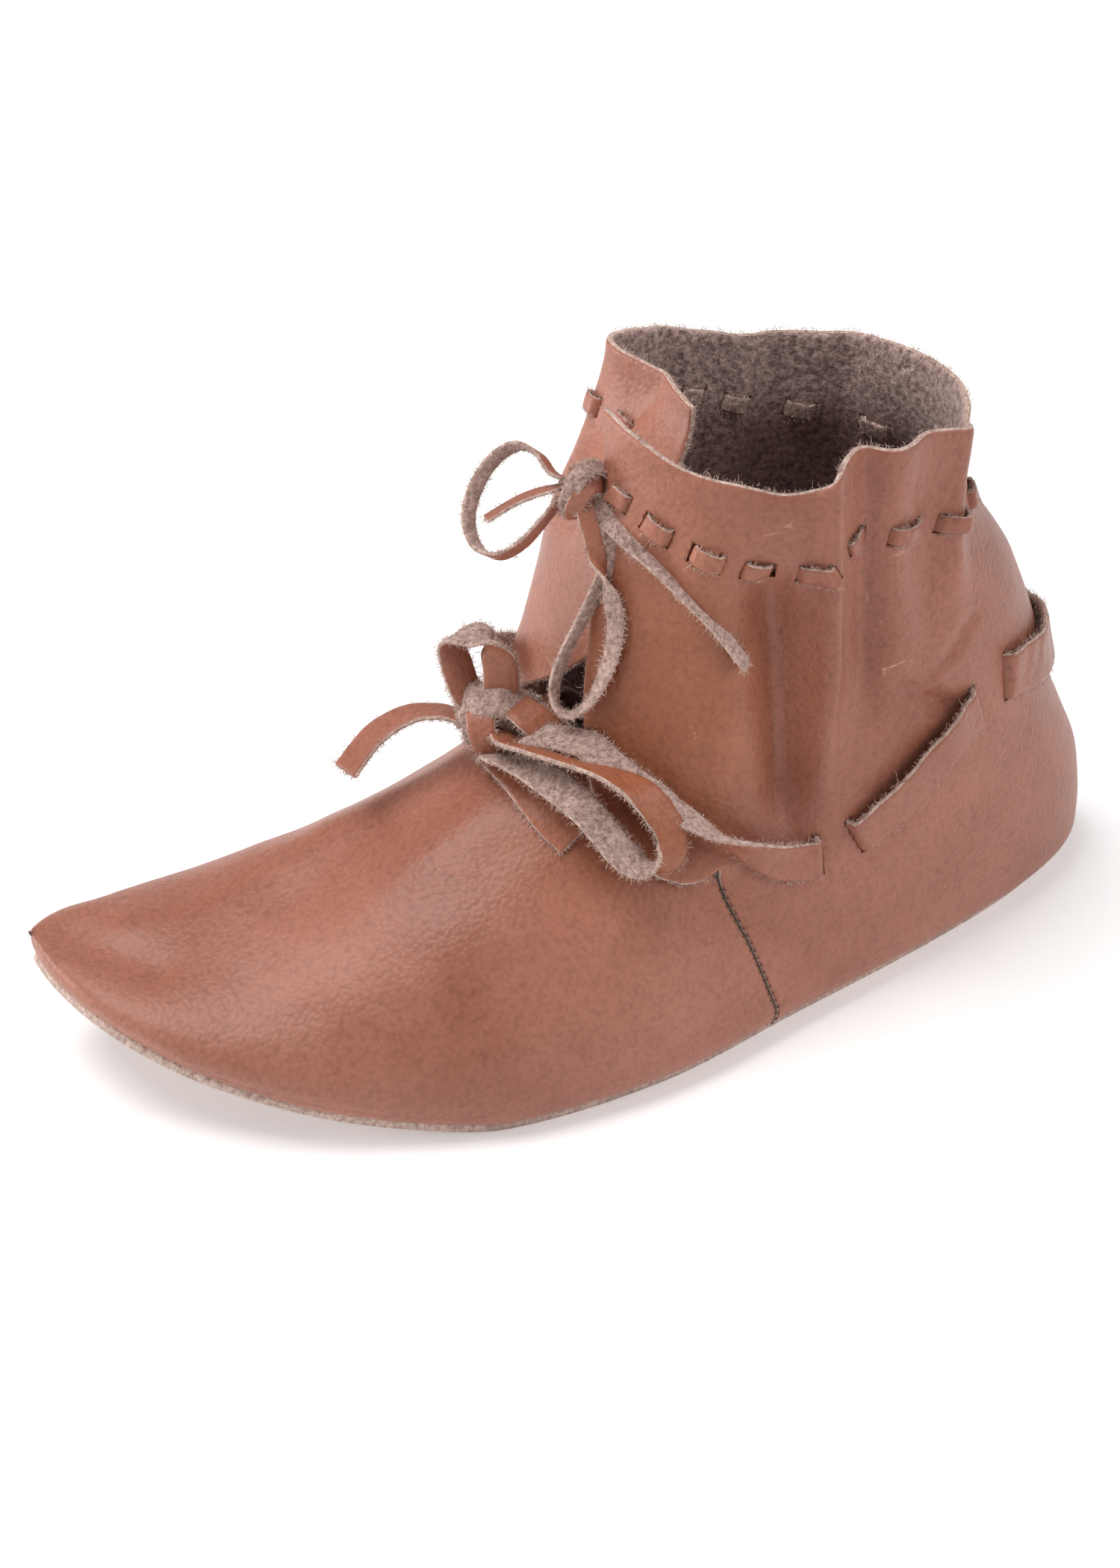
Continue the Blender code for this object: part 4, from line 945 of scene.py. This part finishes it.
def make_sole(leather):
    """Plate tucked into the rolled edge of the upper, bent up at the toe."""
    u = np.linspace(0, 1, SOLE_STEPS + 1)
    last_strip = ROLL_ANGLE * (1 - 1 / (2 * ROLL_STEPS))
    radius = ROLL * OUTLINE.at("roll", u)
    inset = radius * (1 - np.cos(ROLL_ANGLE)) + WALL * np.cos(last_strip) - SOLE_TUCK
    outer, inner = (outline(u, sides) - outline_normal(u, sides) * inset[:, None]
                    for sides in (np.ones(u.shape), -np.ones(u.shape)))
    across = np.linspace(0, 1, SOLE_ROWS + 1)[None, :, None]
    plan = outer[:, None] * (1 - across) + inner[:, None] * across
    top = stack(plan[..., 0], plan[..., 1], lift(plan[..., 0]) + SOLE_THICKNESS)
    mesh = grid_mesh("sole_plate", [top], lambda centre, normal: normal.z)
    sole = new_piece("sole_plate", mesh, leather, "sole_leather", "sole")
    thicken(sole, SOLE_THICKNESS, -1)


class Threading:
    """Path of a flat lace that goes in and out through slits in the upper."""

    def __init__(self, surface, row, crossings, thickness, start, end, mirrored=False):
        self.surface, self.row, self.crossings = surface, row, crossings
        self.thickness, self.mirrored = thickness, mirrored
        self.directions = np.linspace(start, end, int((end - start) / LACE_STEP) + 1)
        height = self.read("height", self.directions)
        self.normals = shaft_normal(height, self.directions)
        self.centre = surface.place(height, self.directions)
        distance = run_length(self.centre)
        stops = np.interp(crossings, self.directions, distance)
        self.depth = np.zeros(distance.shape)
        for number, stop in enumerate(stops):
            self.depth += (-1) ** number * ease(distance, stop - CROSSING_REACH, stop + CROSSING_REACH)
        outside = LACE_CLEARANCE + thickness / 2
        self.levels = outside - self.depth * (WALL + 2 * outside)
        for bar_start, bar_end in zip(stops[1::2], stops[2::2]):
            share = np.clip((distance - bar_start) / (bar_end - bar_start), 0, 1)
            self.levels += BAR_BULGE * np.sin(np.pi * share)
        if "off" in row.column:
            self.levels += self.read("off", self.directions)

    def read(self, name, direction):
        if self.mirrored:
            direction = 180 - np.abs(np.asarray(direction, float) - 180)
        return self.row.at(name, direction)

    def width(self, direction):
        """The lace's width, where its row gives none that of the thong."""
        if "width" in self.row.column:
            return self.read("width", direction)
        return np.full(np.shape(direction), THONG_WIDTH)

    def sheet(self, columns):
        """Rows of points along the lace, each row laid on the upper at the lace's own level."""
        height = self.read("height", self.directions)
        width = self.width(self.directions)
        across = unit(np.cross(self.normals, np.gradient(self.centre, axis=0)))
        rows = []
        for share in np.linspace(-0.5, 0.5, columns + 1):
            beside = self.centre + across * (width * share)[:, None]
            beside_height = height + beside[:, 2] - self.centre[:, 2]
            axis = HEEL_X + LENGTH * RING.at("centre", beside_height / COLLAR_HEIGHT)
            direction = np.degrees(np.arctan2(beside[:, 1], beside[:, 0] - axis)) % 360
            normal = shaft_normal(beside_height, direction)
            rows.append(self.surface.place(beside_height, direction) + normal * self.levels[:, None])
        return np.stack(rows)

    def slope(self):
        """Steepest rise of the lace through a slit, over the way along it."""
        return EASE_SLOPE * (WALL + 2 * LACE_CLEARANCE + self.thickness) / (2 * CROSSING_REACH)

    def slit_frames(self):
        """Centre of each slit, with its axes along the lace, across it and through the wall."""
        for number, crossing in enumerate(self.crossings):
            height, next_direction = self.read("height", crossing), crossing + LACE_AHEAD
            normal = shaft_normal(height, crossing)
            ahead = self.surface.place(self.read("height", next_direction), next_direction)
            centre = self.surface.place(height, np.array(crossing))
            across = unit(np.cross(normal, ahead - centre))
            along = np.cross(across, normal)
            through = normal - (-1) ** number * along / self.slope()
            yield crossing, centre - normal * WALL / 2, along, across, through

    def slit_length(self):
        return self.thickness / np.sin(np.arctan(self.slope())) + 2 * SLIT_CLEARANCE


def make_slits(*threadings):
    """One cutter with a box for each slit; it isn't rendered."""
    shape = bmesh.new()
    for threading in threadings:
        for crossing, centre, along, across, through in threading.slit_frames():
            width = float(threading.width(crossing)) + 2 * SLIT_CLEARANCE
            axes = [along * threading.slit_length(), across * width, through * SLIT_DEPTH, centre]
            matrix = Matrix([*np.column_stack(axes).tolist(), (0, 0, 0, 1)])
            bmesh.ops.create_cube(shape, size=1.0, matrix=matrix)
    bmesh.ops.recalc_face_normals(shape, faces=shape.faces)
    cutter = add_object("slit_cutter", finished_mesh("slit_cutter", shape))
    cutter.hide_render = True
    cutter.hide_viewport = True
    return cutter


def sheet_mesh(name, rows):
    """A strip of leather from rows of points along it; its grain side is tangent x across."""
    columns, count = rows.shape[:2]
    index = np.arange(columns * count).reshape(columns, count)
    corners = [index[:-1, :-1], index[:-1, 1:], index[1:, 1:], index[1:, :-1]]
    mesh = bpy.data.meshes.new(name)
    mesh.from_pydata(rows.reshape(-1, 3).tolist(), [], np.stack(corners, -1).reshape(-1, 4).tolist())
    mesh.shade_smooth()
    return mesh


def note_edge(slot, grid, normals, edge, inner, thickness, depth=0.0):
    """A cut edge that carries loose fibres, that deep below the grid."""
    middle = grid[edge] - normals[edge] * depth
    fuzzy_edges[slot].append((middle, unit(grid[edge] - grid[inner]), normals[edge], thickness))


def note_cut_edges(surface):
    """Rim, hems and front edges of the quarters, which carry loose fibres."""
    flap_edges = (LAST_ROW, LAST_COLUMN, FIRST_ROW)
    for grid, edges in zip(surface.quarters, ((LAST_ROW,), flap_edges, flap_edges)):
        normals = outward_normals(grid)
        for edge, inner in edges:
            note_edge("upper_leather", grid, normals, edge, inner, WALL, WALL / 2)


def lace_piece(name, rows, thickness, leather, *nodes, turned=False):
    """A flat lace with its loose fibres; a turned one shows its flesh side where others show grain."""
    piece = new_piece(name, sheet_mesh(name, rows), leather, "lace_leather", *nodes)
    thicken(piece, thickness, 0)
    soften(piece)
    normals = grid_normals(rows)
    for edge, inner in (FIRST_ROW, LAST_ROW, FIRST_COLUMN, LAST_COLUMN):
        note_edge("lace_leather", rows, normals, edge, inner, thickness)
    flesh = normals if turned else -normals
    fuzzy_faces.append((rows + flesh * thickness / 2, flesh))
    return piece


def wander(points, seed):
    """Slow irregular change along a cut edge, within one to either side."""
    offset = Vector((seed, 0, 0))
    return np.array([noise.noise(Vector(point / LACE_WANDER_SIZE) + offset) for point in points])


def spread(points, across, width, columns):
    """Rows of a ribbon of that width along points, with hand-cut edges."""
    tangent = unit(np.gradient(points, axis=0))
    across = unit(across - tangent * (across * tangent).sum(1)[:, None])
    low = -0.5 * (1 + LACE_WANDER * wander(points, 1))
    high = 0.5 * (1 + LACE_WANDER * wander(points, 2))
    shares = np.linspace(0, 1, columns + 1)
    return np.stack([points + across * (width * (low + (high - low) * share))[:, None] for share in shares])


def in_photo_plane(route, key):
    """A route's left, up and out columns as vectors."""
    return (np.outer(route.at("left", key), LEFTWARD) + np.outer(route.at("up", key), UPWARD)
            + np.outer(route.at("out", key), TOWARDS))


def read_route(route):
    """Evenly spaced points of a smooth route, the width direction at each, and the length."""
    key = route.keys(ROUTE_SAMPLES)
    distance = run_length(route.places(key))
    key = np.interp(np.linspace(0, distance[-1], int(distance[-1] / LACE_SPACING) + 1), distance, key)
    return route.places(key), in_photo_plane(route, key), float(distance[-1])


def make_free_lace(name, route, size, leather, knots, *nodes):
    """One loop and its end; the knot's pieces that it is given are not used."""
    width, thickness = size
    points, across, length = read_route(route)
    piece = lace_piece(name, spread(points, across, width, LACE_COLUMNS), thickness, leather, *nodes)
    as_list(knots)


def make_wrap(name, route, centre, size, leather, turned=False, taper=1.0):
    """Band wound round a knot, facing away from a point behind the knot's centre."""
    width, thickness = size
    place = in_photo_plane(route, route.keys(WRAP_STEPS))
    across = np.cross(place + TOWARDS * WRAP_DEPTH, np.gradient(place, axis=0))
    rows = spread(place + centre, across, width * np.linspace(1, taper, WRAP_STEPS), LACE_COLUMNS)
    return lace_piece(name, rows, thickness, leather, turned=turned)


def make_core(name, route, centre, size, leather, axis, *nodes):
    """Lace wound round an axis inside a knot."""
    width, thickness = size
    place = in_photo_plane(route, route.keys(CORE_STEPS))
    rows = spread(place + centre, np.tile(axis, (CORE_STEPS, 1)), width, LACE_COLUMNS)
    return lace_piece(name, rows, thickness, leather, *nodes)


def make_knots(leather, turned):
    """Pieces wound into the two knots."""
    at_ankle, at_instep = (ANKLE_KNOT, THONG_SIZE), (INSTEP_KNOT, STRAP_SIZE)
    ankle = [
        make_core("ankle_core", ANKLE_CORE, *at_ankle, leather, UPWARD, "ankle_knot"),
        make_wrap("ankle_wrap_over", ANKLE_WRAP_OVER, *at_ankle, turned, turned=True),
        make_wrap("ankle_wrap_beside", ANKLE_WRAP_BESIDE, *at_ankle, leather)]
    instep = [
        make_core("instep_core", INSTEP_CORE, *at_instep, leather, LEFTWARD, "instep_knot"),
        make_wrap("instep_wrap_top", INSTEP_WRAP_TOP, *at_instep, turned, turned=True),
        make_wrap("instep_wrap_front", INSTEP_WRAP_FRONT, *at_instep, leather, taper=FRONT_TAPER),
        make_wrap("instep_wrap_side", INSTEP_WRAP_SIDE, *at_instep, leather)]
    return ankle, instep


def make_laces(leather, turned):
    """The two knots, and the free laces with the CAD solids that they stand for."""
    ankle, instep = make_knots(leather, turned)
    make_free_lace("ankle_lace_front", ANKLE_LACE_FRONT, THONG_SIZE, leather, ankle,
                   "ankle_loop_front", "ankle_end_short")
    make_free_lace("ankle_lace_side", ANKLE_LACE_SIDE, THONG_SIZE, leather, [],
                   "ankle_loop_hanging", "ankle_end_long")
    make_free_lace("instep_lace_front", INSTEP_LACE_FRONT, STRAP_SIZE, leather, instep,
                   "instep_loop_upright", "instep_end_left")
    make_free_lace("instep_lace_side", INSTEP_LACE_SIDE, STRAP_SIZE, leather, [],
                   "instep_loop_right", "instep_end_right")


def run_rows(run, row):
    """Free rows of a lace that keep the width direction of its first or last row."""
    offset = row - row.mean(0)
    return [offset + place for place in run]


def make_thong(threading, leather):
    """Narrow lace of the ankle, with its free run to the knot."""
    rows = np.moveaxis(threading.sheet(LACE_COLUMNS), 1, 0)
    rows = np.moveaxis(np.concatenate([run_rows(THONG_NEAR_RUN, rows[0]), rows]), 0, 1)
    lace_piece("thong", rows, THONG_THICKNESS, leather, "ankle_thong")


def make_strap(threading, leather):
    """Wide lace of the instep, which turns over near the bow, with its free runs to the knot."""
    rows = threading.sheet(STRAP_COLUMNS)
    lean = np.radians(STRAP_LEAN.at("lean", threading.directions) * (1 - threading.depth))[:, None]
    rise = STRAP_LEAN.at("rise", threading.directions)[:, None]
    up = unit(rows[1] - rows[0])
    height = np.linalg.norm(rows - rows[0], axis=-1, keepdims=True)
    rows = rows[0] + up * (rise + height * np.cos(lean)) + threading.normals * height * np.sin(lean)
    rows = np.moveaxis(rows, 1, 0)
    near, far = run_rows(STRAP_NEAR_RUN, rows[0]), run_rows(STRAP_FAR_RUN, rows[-1])
    rows = np.moveaxis(np.concatenate([near, rows, far]), 0, 1)
    lace_piece("strap", rows, STRAP_THICKNESS, leather, "instep_strap")


def fibres(name, bases, directions, sway, lengths, material, slot):
    """Thin tapered fibres: three sided, bent once, from bases along directions and then sway."""
    side = unit(np.cross(directions, sway))
    other = np.cross(side, directions)
    ring = [side * np.cos(angle) + other * np.sin(angle) for angle in FIBRE_SIDES]
    middle = bases + directions * (lengths * FIBRE_LOWER)[:, None]
    tip = middle + unit(directions + sway) * (lengths * FIBRE_UPPER)[:, None]
    low = [bases + spoke * FIBRE_RADIUS for spoke in ring]
    high = [middle + spoke * FIBRE_BEND_RADIUS for spoke in ring]
    corners = low + high + [tip]
    start = np.arange(len(bases))[:, None] * len(corners)
    quads, tips = (np.concatenate([start + face for face in faces]) for faces in (FIBRE_QUADS, FIBRE_TIPS))
    mesh = bpy.data.meshes.new(name)
    points = np.stack(corners, 1).reshape(-1, 3)
    mesh.from_pydata(points.tolist(), [], quads.tolist() + tips.tolist())
    new_piece(name, mesh, (material,), slot)


def make_edge_fuzz(name, slot, per_metre, material, dice):
    """Loose fibres along the cut edges of one kind of leather."""
    bases, ways, sways = [], [], []
    for points, outward, normals, thickness in fuzzy_edges[slot]:
        distance = run_length(points)
        count = int(distance[-1] * per_metre)
        place = dice.uniform(0, distance[-1], count)
        offset = dice.uniform(-0.5, 0.5, count)[:, None] * thickness
        bases.append(read_along(distance, points, place) + read_along(distance, normals, place) * offset)
        swerve = EDGE_SPREAD * dice.normal(size=(count, 3))
        ways.append(unit(read_along(distance, outward, place) + swerve))
        sways.append(dice.normal(size=(count, 3)))
    bases, ways, sways = np.concatenate(bases), np.concatenate(ways), unit(np.concatenate(sways))
    lengths = FIBRE_LENGTH * dice.lognormal(0, EDGE_LENGTH_SPREAD, len(bases))
    fibres(name, bases, ways, sways, lengths, material, slot)


def make_nap(material, dice):
    """Short matted fibres over the flesh side of the laces."""
    bases, ways = [], []
    for rows, normals in fuzzy_faces:
        edges = np.diff(rows, axis=1)[:-1]
        area = np.linalg.norm(np.cross(edges, np.diff(rows, axis=0)[:, :-1]), axis=-1)
        count = int(area.sum() * NAP_FIBRES)
        cell = dice.choice(area.size, count, p=(area / area.sum()).ravel())
        row, column = np.unravel_index(cell, area.shape)
        across, along = dice.uniform(size=(2, count, 1))
        low = rows[row, column] * (1 - along) + rows[row, column + 1] * along
        high = rows[row + 1, column] * (1 - along) + rows[row + 1, column + 1] * along
        bases.append(low * (1 - across) + high * across)
        swerve = dice.normal(size=(count, 3)) * NAP_SPREAD
        ways.append(unit(normals[row, column] * NAP_RISE + swerve))
    bases, ways = np.concatenate(bases), np.concatenate(ways)
    sways = unit(dice.normal(size=bases.shape))
    lengths = FIBRE_LENGTH * NAP_SHARE * dice.lognormal(0, NAP_LENGTH_SPREAD, len(bases))
    fibres("lace_nap", bases, ways, sways, lengths, material, "lace_leather")


def make_seam(name, line, outward, material):
    """Slanting stitches of waxed thread over a dark welt along one closed seam."""
    distance = run_length(line)
    tangent = unit(np.gradient(line, axis=0))
    across = unit(np.cross(outward, tangent))
    turns = np.linspace(0, 2 * np.pi, STITCH_SIDES + 1)[:-1]
    shape = bmesh.new()
    for place in np.arange(STITCH_SPACING, distance[-1] - STITCH_SPACING / 2, STITCH_SPACING):
        centre, way, side, out = (read_along(distance, values, place)
                                  for values in (line, tangent, across, outward))
        spokes = [out * np.cos(angle) + way * np.sin(angle) for angle in turns]
        rings = []
        for share in np.linspace(-1, 1, STITCH_RINGS):
            middle = centre + (side * share + way * share * STITCH_SLANT) * STITCH_REACH
            middle = middle + out * STITCH_RADIUS * (STITCH_CREST - STITCH_ARCH * share ** 2)
            rings.append([shape.verts.new(middle + spoke * STITCH_RADIUS) for spoke in spokes])
        bridge(shape, [ring + ring[:1] for ring in rings])
        shape.faces.new(rings[0])
        shape.faces.new(rings[-1])
    middle = line - outward * WELT_DEPTH
    middle = np.concatenate([middle, middle[-1:] + tangent[-1:] * WELT_END])
    half = np.concatenate([across * WELT_WIDTH / 2, across[-1:] * WELT_END / 2])
    half[-2] = half[-1]
    bridge(shape, [[shape.verts.new(corner) for corner in side] for side in (middle - half, middle + half)])
    bmesh.ops.recalc_face_normals(shape, faces=shape.faces)
    mesh = finished_mesh(name, shape)
    mesh.shade_smooth()
    new_piece(name, mesh, (material,), "upper_leather")


class Looks:
    """A material made of nodes round a principled shader."""

    def __init__(self, name, constants):
        self.material = bpy.data.materials.new(name)
        self.material.use_nodes = True
        self.tree = self.material.node_tree
        self.shader = self.tree.nodes["Principled BSDF"]
        self.feed(self.shader, constants)

    def feed(self, node, inputs):
        """Link or set inputs, by name or number."""
        for name, value in inputs.items():
            if isinstance(value, bpy.types.NodeSocket):
                self.tree.links.new(value, node.inputs[name])
            else:
                node.inputs[name].default_value = value

    def add(self, kind, output, inputs, **settings):
        """New node; gives one of its outputs."""
        node = self.tree.nodes.new("ShaderNode" + kind)
        for name, value in settings.items():
            setattr(node, name, value)
        self.feed(node, inputs)
        return node.outputs[output]

    def ramp(self, factor, *stops):
        """Colours at positions of a factor."""
        node = self.tree.nodes.new("ShaderNodeValToRGB")
        self.feed(node, {"Fac": factor})
        ramp = node.color_ramp
        while len(ramp.elements) < len(stops):
            ramp.elements.new(1.0)
        for element, (position, colour) in zip(ramp.elements, stops):
            element.position = position
            element.color = colour
        return node.outputs["Color"]

    def grey(self, factor, stops):
        """Grey values at positions of a factor."""
        return self.ramp(factor, *((position, (value, value, value, 1)) for position, value in stops))

    def noise(self, place, scale, detail, roughness, distortion):
        return self.add("TexNoise", "Fac", {"Vector": place, "Scale": scale, "Detail": detail,
                                            "Roughness": roughness, "Distortion": distortion})

    def stretched(self, place, scale):
        return self.add("Mapping", "Vector", {"Vector": place, "Scale": scale})

    def between(self, value, low, high):
        """0 below low, 1 above high, smooth between."""
        return self.add("MapRange", "Result", {"Value": value, "From Min": low, "From Max": high},
                        interpolation_type="SMOOTHSTEP")

    def mix(self, factor, first, second, blend="MIX"):
        inputs = {MIX_FACTOR: factor, MIX_FIRST: first, MIX_SECOND: second}
        return self.add("Mix", MIX_RESULT, inputs, data_type="RGBA", blend_type=blend)

    def tinted(self, colour, tint):
        return self.mix(1.0, colour, tint, "MULTIPLY")

    def bump(self, height, strength, distance, below=None, invert=False):
        inputs = {"Height": height, "Strength": strength, "Distance": distance}
        if below is not None:
            inputs["Normal"] = below
        return self.add("Bump", "Normal", inputs, invert=invert)

    def finish(self, inputs):
        """Link what is worked out to the shader; gives the material."""
        self.feed(self.shader, inputs)
        return self.material


def grain_leather(name):
    """Grain side: satin tan leather, fine pebble, fine wrinkles, pale scuffs, and painted shade round the
    ankle.
    """
    looks = Looks(name, GRAIN_SATIN)
    place = looks.add("TexCoord", "Object", {})
    cloud = looks.noise(place, *CLOUD)
    pebble = looks.add("TexVoronoi", "Distance", {"Vector": place, "Scale": PEBBLES}, feature="SMOOTH_F1")
    wrinkle = looks.noise(looks.stretched(place, WRINKLE_STRETCH), *WRINKLE)
    colour = looks.ramp(cloud, *CLOUD_COLOURS)
    colour = looks.tinted(colour, looks.grey(wrinkle, WRINKLE_SHADE))
    colour = looks.tinted(colour, looks.grey(pebble, PEBBLE_SHADE))
    scratch = looks.grey(looks.noise(looks.stretched(place, STREAK_STRETCH), *STREAK), STREAK_CUT)
    patch = looks.grey(looks.noise(place, *SCUFF_PATCH), SCUFF_CUT)
    scuff = looks.add("Math", 0, {0: scratch, 1: patch}, operation="MULTIPLY")
    colour = looks.mix(scuff, colour, GRAIN_SCUFF)
    # painted shade: darker, warmer grain round the near flap by the ankle
    reach = looks.add("VectorMath", "Value", {0: place, 1: PAINTED_SHADE_CENTRE}, operation="DISTANCE")
    unshaded = looks.between(reach, PAINTED_SHADE_FROM, PAINTED_SHADE_TO)
    colour = looks.tinted(colour, looks.ramp(unshaded, (0.0, GRAIN_PAINTED_SHADE), (1.0, UNCHANGED)))
    normal = looks.bump(wrinkle, *WRINKLE_BUMP)
    normal = looks.bump(pebble, *PEBBLE_BUMP, normal, invert=True)
    roughness = looks.grey(cloud, GRAIN_ROUGHNESS)
    return looks.finish({"Base Color": colour, "Normal": normal, "Roughness": roughness})


def fuzzy_leather(name, dark, light, pile, clumps, painted_shade_low=False):
    """Flesh side or cut edge: matted fibres, with the pile's height and its clumps in a metre."""
    looks = Looks(name, FUZZ)
    place = looks.add("TexCoord", "Object", {})
    clump = looks.noise(place, clumps, *CLUMP)
    fibre = looks.noise(looks.stretched(place, FIBRE_STRETCH), *FIBRE)
    colour = looks.ramp(clump, (CLUMP_DARK, dark), (CLUMP_LIGHT, light))
    colour = looks.tinted(colour, looks.grey(fibre, FIBRE_SHADE))
    colour = looks.tinted(colour, looks.grey(looks.noise(place, *FUZZ_PATCH), FUZZ_SHADE))
    # painted shade: the lining is darker low inside the boot
    if painted_shade_low:
        height = looks.add("SeparateXYZ", "Z", {"Vector": place})
        above_shade = looks.between(height, LINING_SHADE_BELOW, LINING_SHADE_ABOVE)
        colour = looks.tinted(colour, looks.ramp(above_shade, (0.0, LINING_PAINTED_SHADE), (1.0, UNCHANGED)))
    normal = looks.bump(clump, CLUMP_BUMP, pile)
    normal = looks.bump(fibre, FIBRE_BUMP, pile / 2, normal)
    return looks.finish({"Base Color": colour, "Normal": normal})


def waxed_thread(name):
    """Dark thread with a fine twist."""
    looks = Looks(name, THREAD_WAX)
    twist = looks.noise(looks.add("TexCoord", "Object", {}), *TWIST)
    colour, normal = looks.ramp(twist, *TWIST_COLOURS), looks.bump(twist, *TWIST_BUMP)
    return looks.finish({"Base Color": colour, "Normal": normal})


def make_stage():
    """Pale floor and soft light, the key high above and ahead of the toe."""
    mesh = bpy.data.meshes.new("floor")
    corners = [(FLOOR_HALF * x, FLOOR_HALF * y, 0) for x, y in ((-1, -1), (1, -1), (1, 1), (-1, 1))]
    mesh.from_pydata(corners, [], [(0, 1, 2, 3)])
    mesh.materials.append(Looks("floor_paper", FLOOR_PAPER).material)
    floor = add_object("floor", mesh)
    scene = bpy.context.scene
    scene.world = bpy.data.worlds.new("studio")
    scene.world.use_nodes = True
    background = scene.world.node_tree.nodes["Background"]
    background.inputs["Color"].default_value = WORLD_COLOUR
    background.inputs["Strength"].default_value = WORLD_LIGHT
    scene.view_settings.view_transform = "Standard"
    for name, place, size, power in LIGHTS:
        light = bpy.data.lights.new(name, "AREA")
        light.shape = "DISK"
        light.size = size
        light.energy = power
        lamp = add_object(name, light)
        lamp.location = place
        lamp.rotation_euler = (CAMERA_TARGET - Vector(place)).to_track_quat("-Z", "Y").to_euler()


def make_camera():
    back, right = Vector(TOWARDS), Vector(-LEFTWARD)
    up = back.cross(right)
    eye = CAMERA_TARGET + back * CAMERA_DISTANCE
    data = bpy.data.cameras.new("camera")
    data.sensor_width = SENSOR
    data.lens = FOCAL_PIXELS / PHOTO_HEIGHT * SENSOR
    data.shift_x = (PHOTO_WIDTH / 2 - CENTRE_PIXEL_X) / PHOTO_HEIGHT
    data.shift_y = (CENTRE_PIXEL_Y - PHOTO_HEIGHT / 2) / PHOTO_HEIGHT
    data.clip_start = CAMERA_NEAR
    camera = add_object("camera", data)
    rows = [(*row, place) for row, place in zip(zip(right, up, back), eye)]
    camera.matrix_world = Matrix(rows + [(0, 0, 0, 1)])
    bpy.context.scene.camera = camera


def make_boot():
    grain = grain_leather("leather_grain")
    flesh = fuzzy_leather("leather_flesh", *FLESH)
    lining = fuzzy_leather("leather_lining", *LINING, painted_shade_low=True)
    edge = fuzzy_leather("leather_edge", *CUT_EDGE)
    leather, turned, upper = (grain, flesh, edge), (flesh, grain, edge), (grain, lining, edge)
    make_laces(leather, turned)
    surface = UpperSurface()
    thong = Threading(surface, THONG_ROW, THONG_CROSSINGS, THONG_THICKNESS, THONG_START, THONG_END)
    far_crossings = tuple(360 - crossing for crossing in reversed(STRAP_CROSSINGS))
    strap_start = STRAP_ROW.key[0]
    strap = Threading(surface, STRAP_ROW, STRAP_CROSSINGS + far_crossings, STRAP_THICKNESS,
                      strap_start, 360 - strap_start, mirrored=True)
    slits = make_slits(thong, strap)
    make_vamp(surface, upper)
    make_quarters(surface, slits, upper)
    make_sole((flesh, flesh, edge))
    make_thong(thong, leather)
    make_strap(strap, leather)
    note_cut_edges(surface)
    thread = waxed_thread("seam_thread")
    seam_rows = surface.seam_rows
    quarter = surface.quarters[0]
    normals = outward_normals(quarter)
    for name, column in (("seam_outer", 0), ("seam_inner", -1)):
        make_seam(name, quarter[:seam_rows, column], normals[:seam_rows, column], thread)
    dice = np.random.default_rng(FUZZ_SEED)
    make_edge_fuzz("rim_fuzz", "upper_leather", RIM_FIBRES, edge, dice)
    make_edge_fuzz("lace_fuzz", "lace_leather", EDGE_FIBRES, edge, dice)
    make_nap(edge, dice)


make_camera()
make_stage()
make_boot()
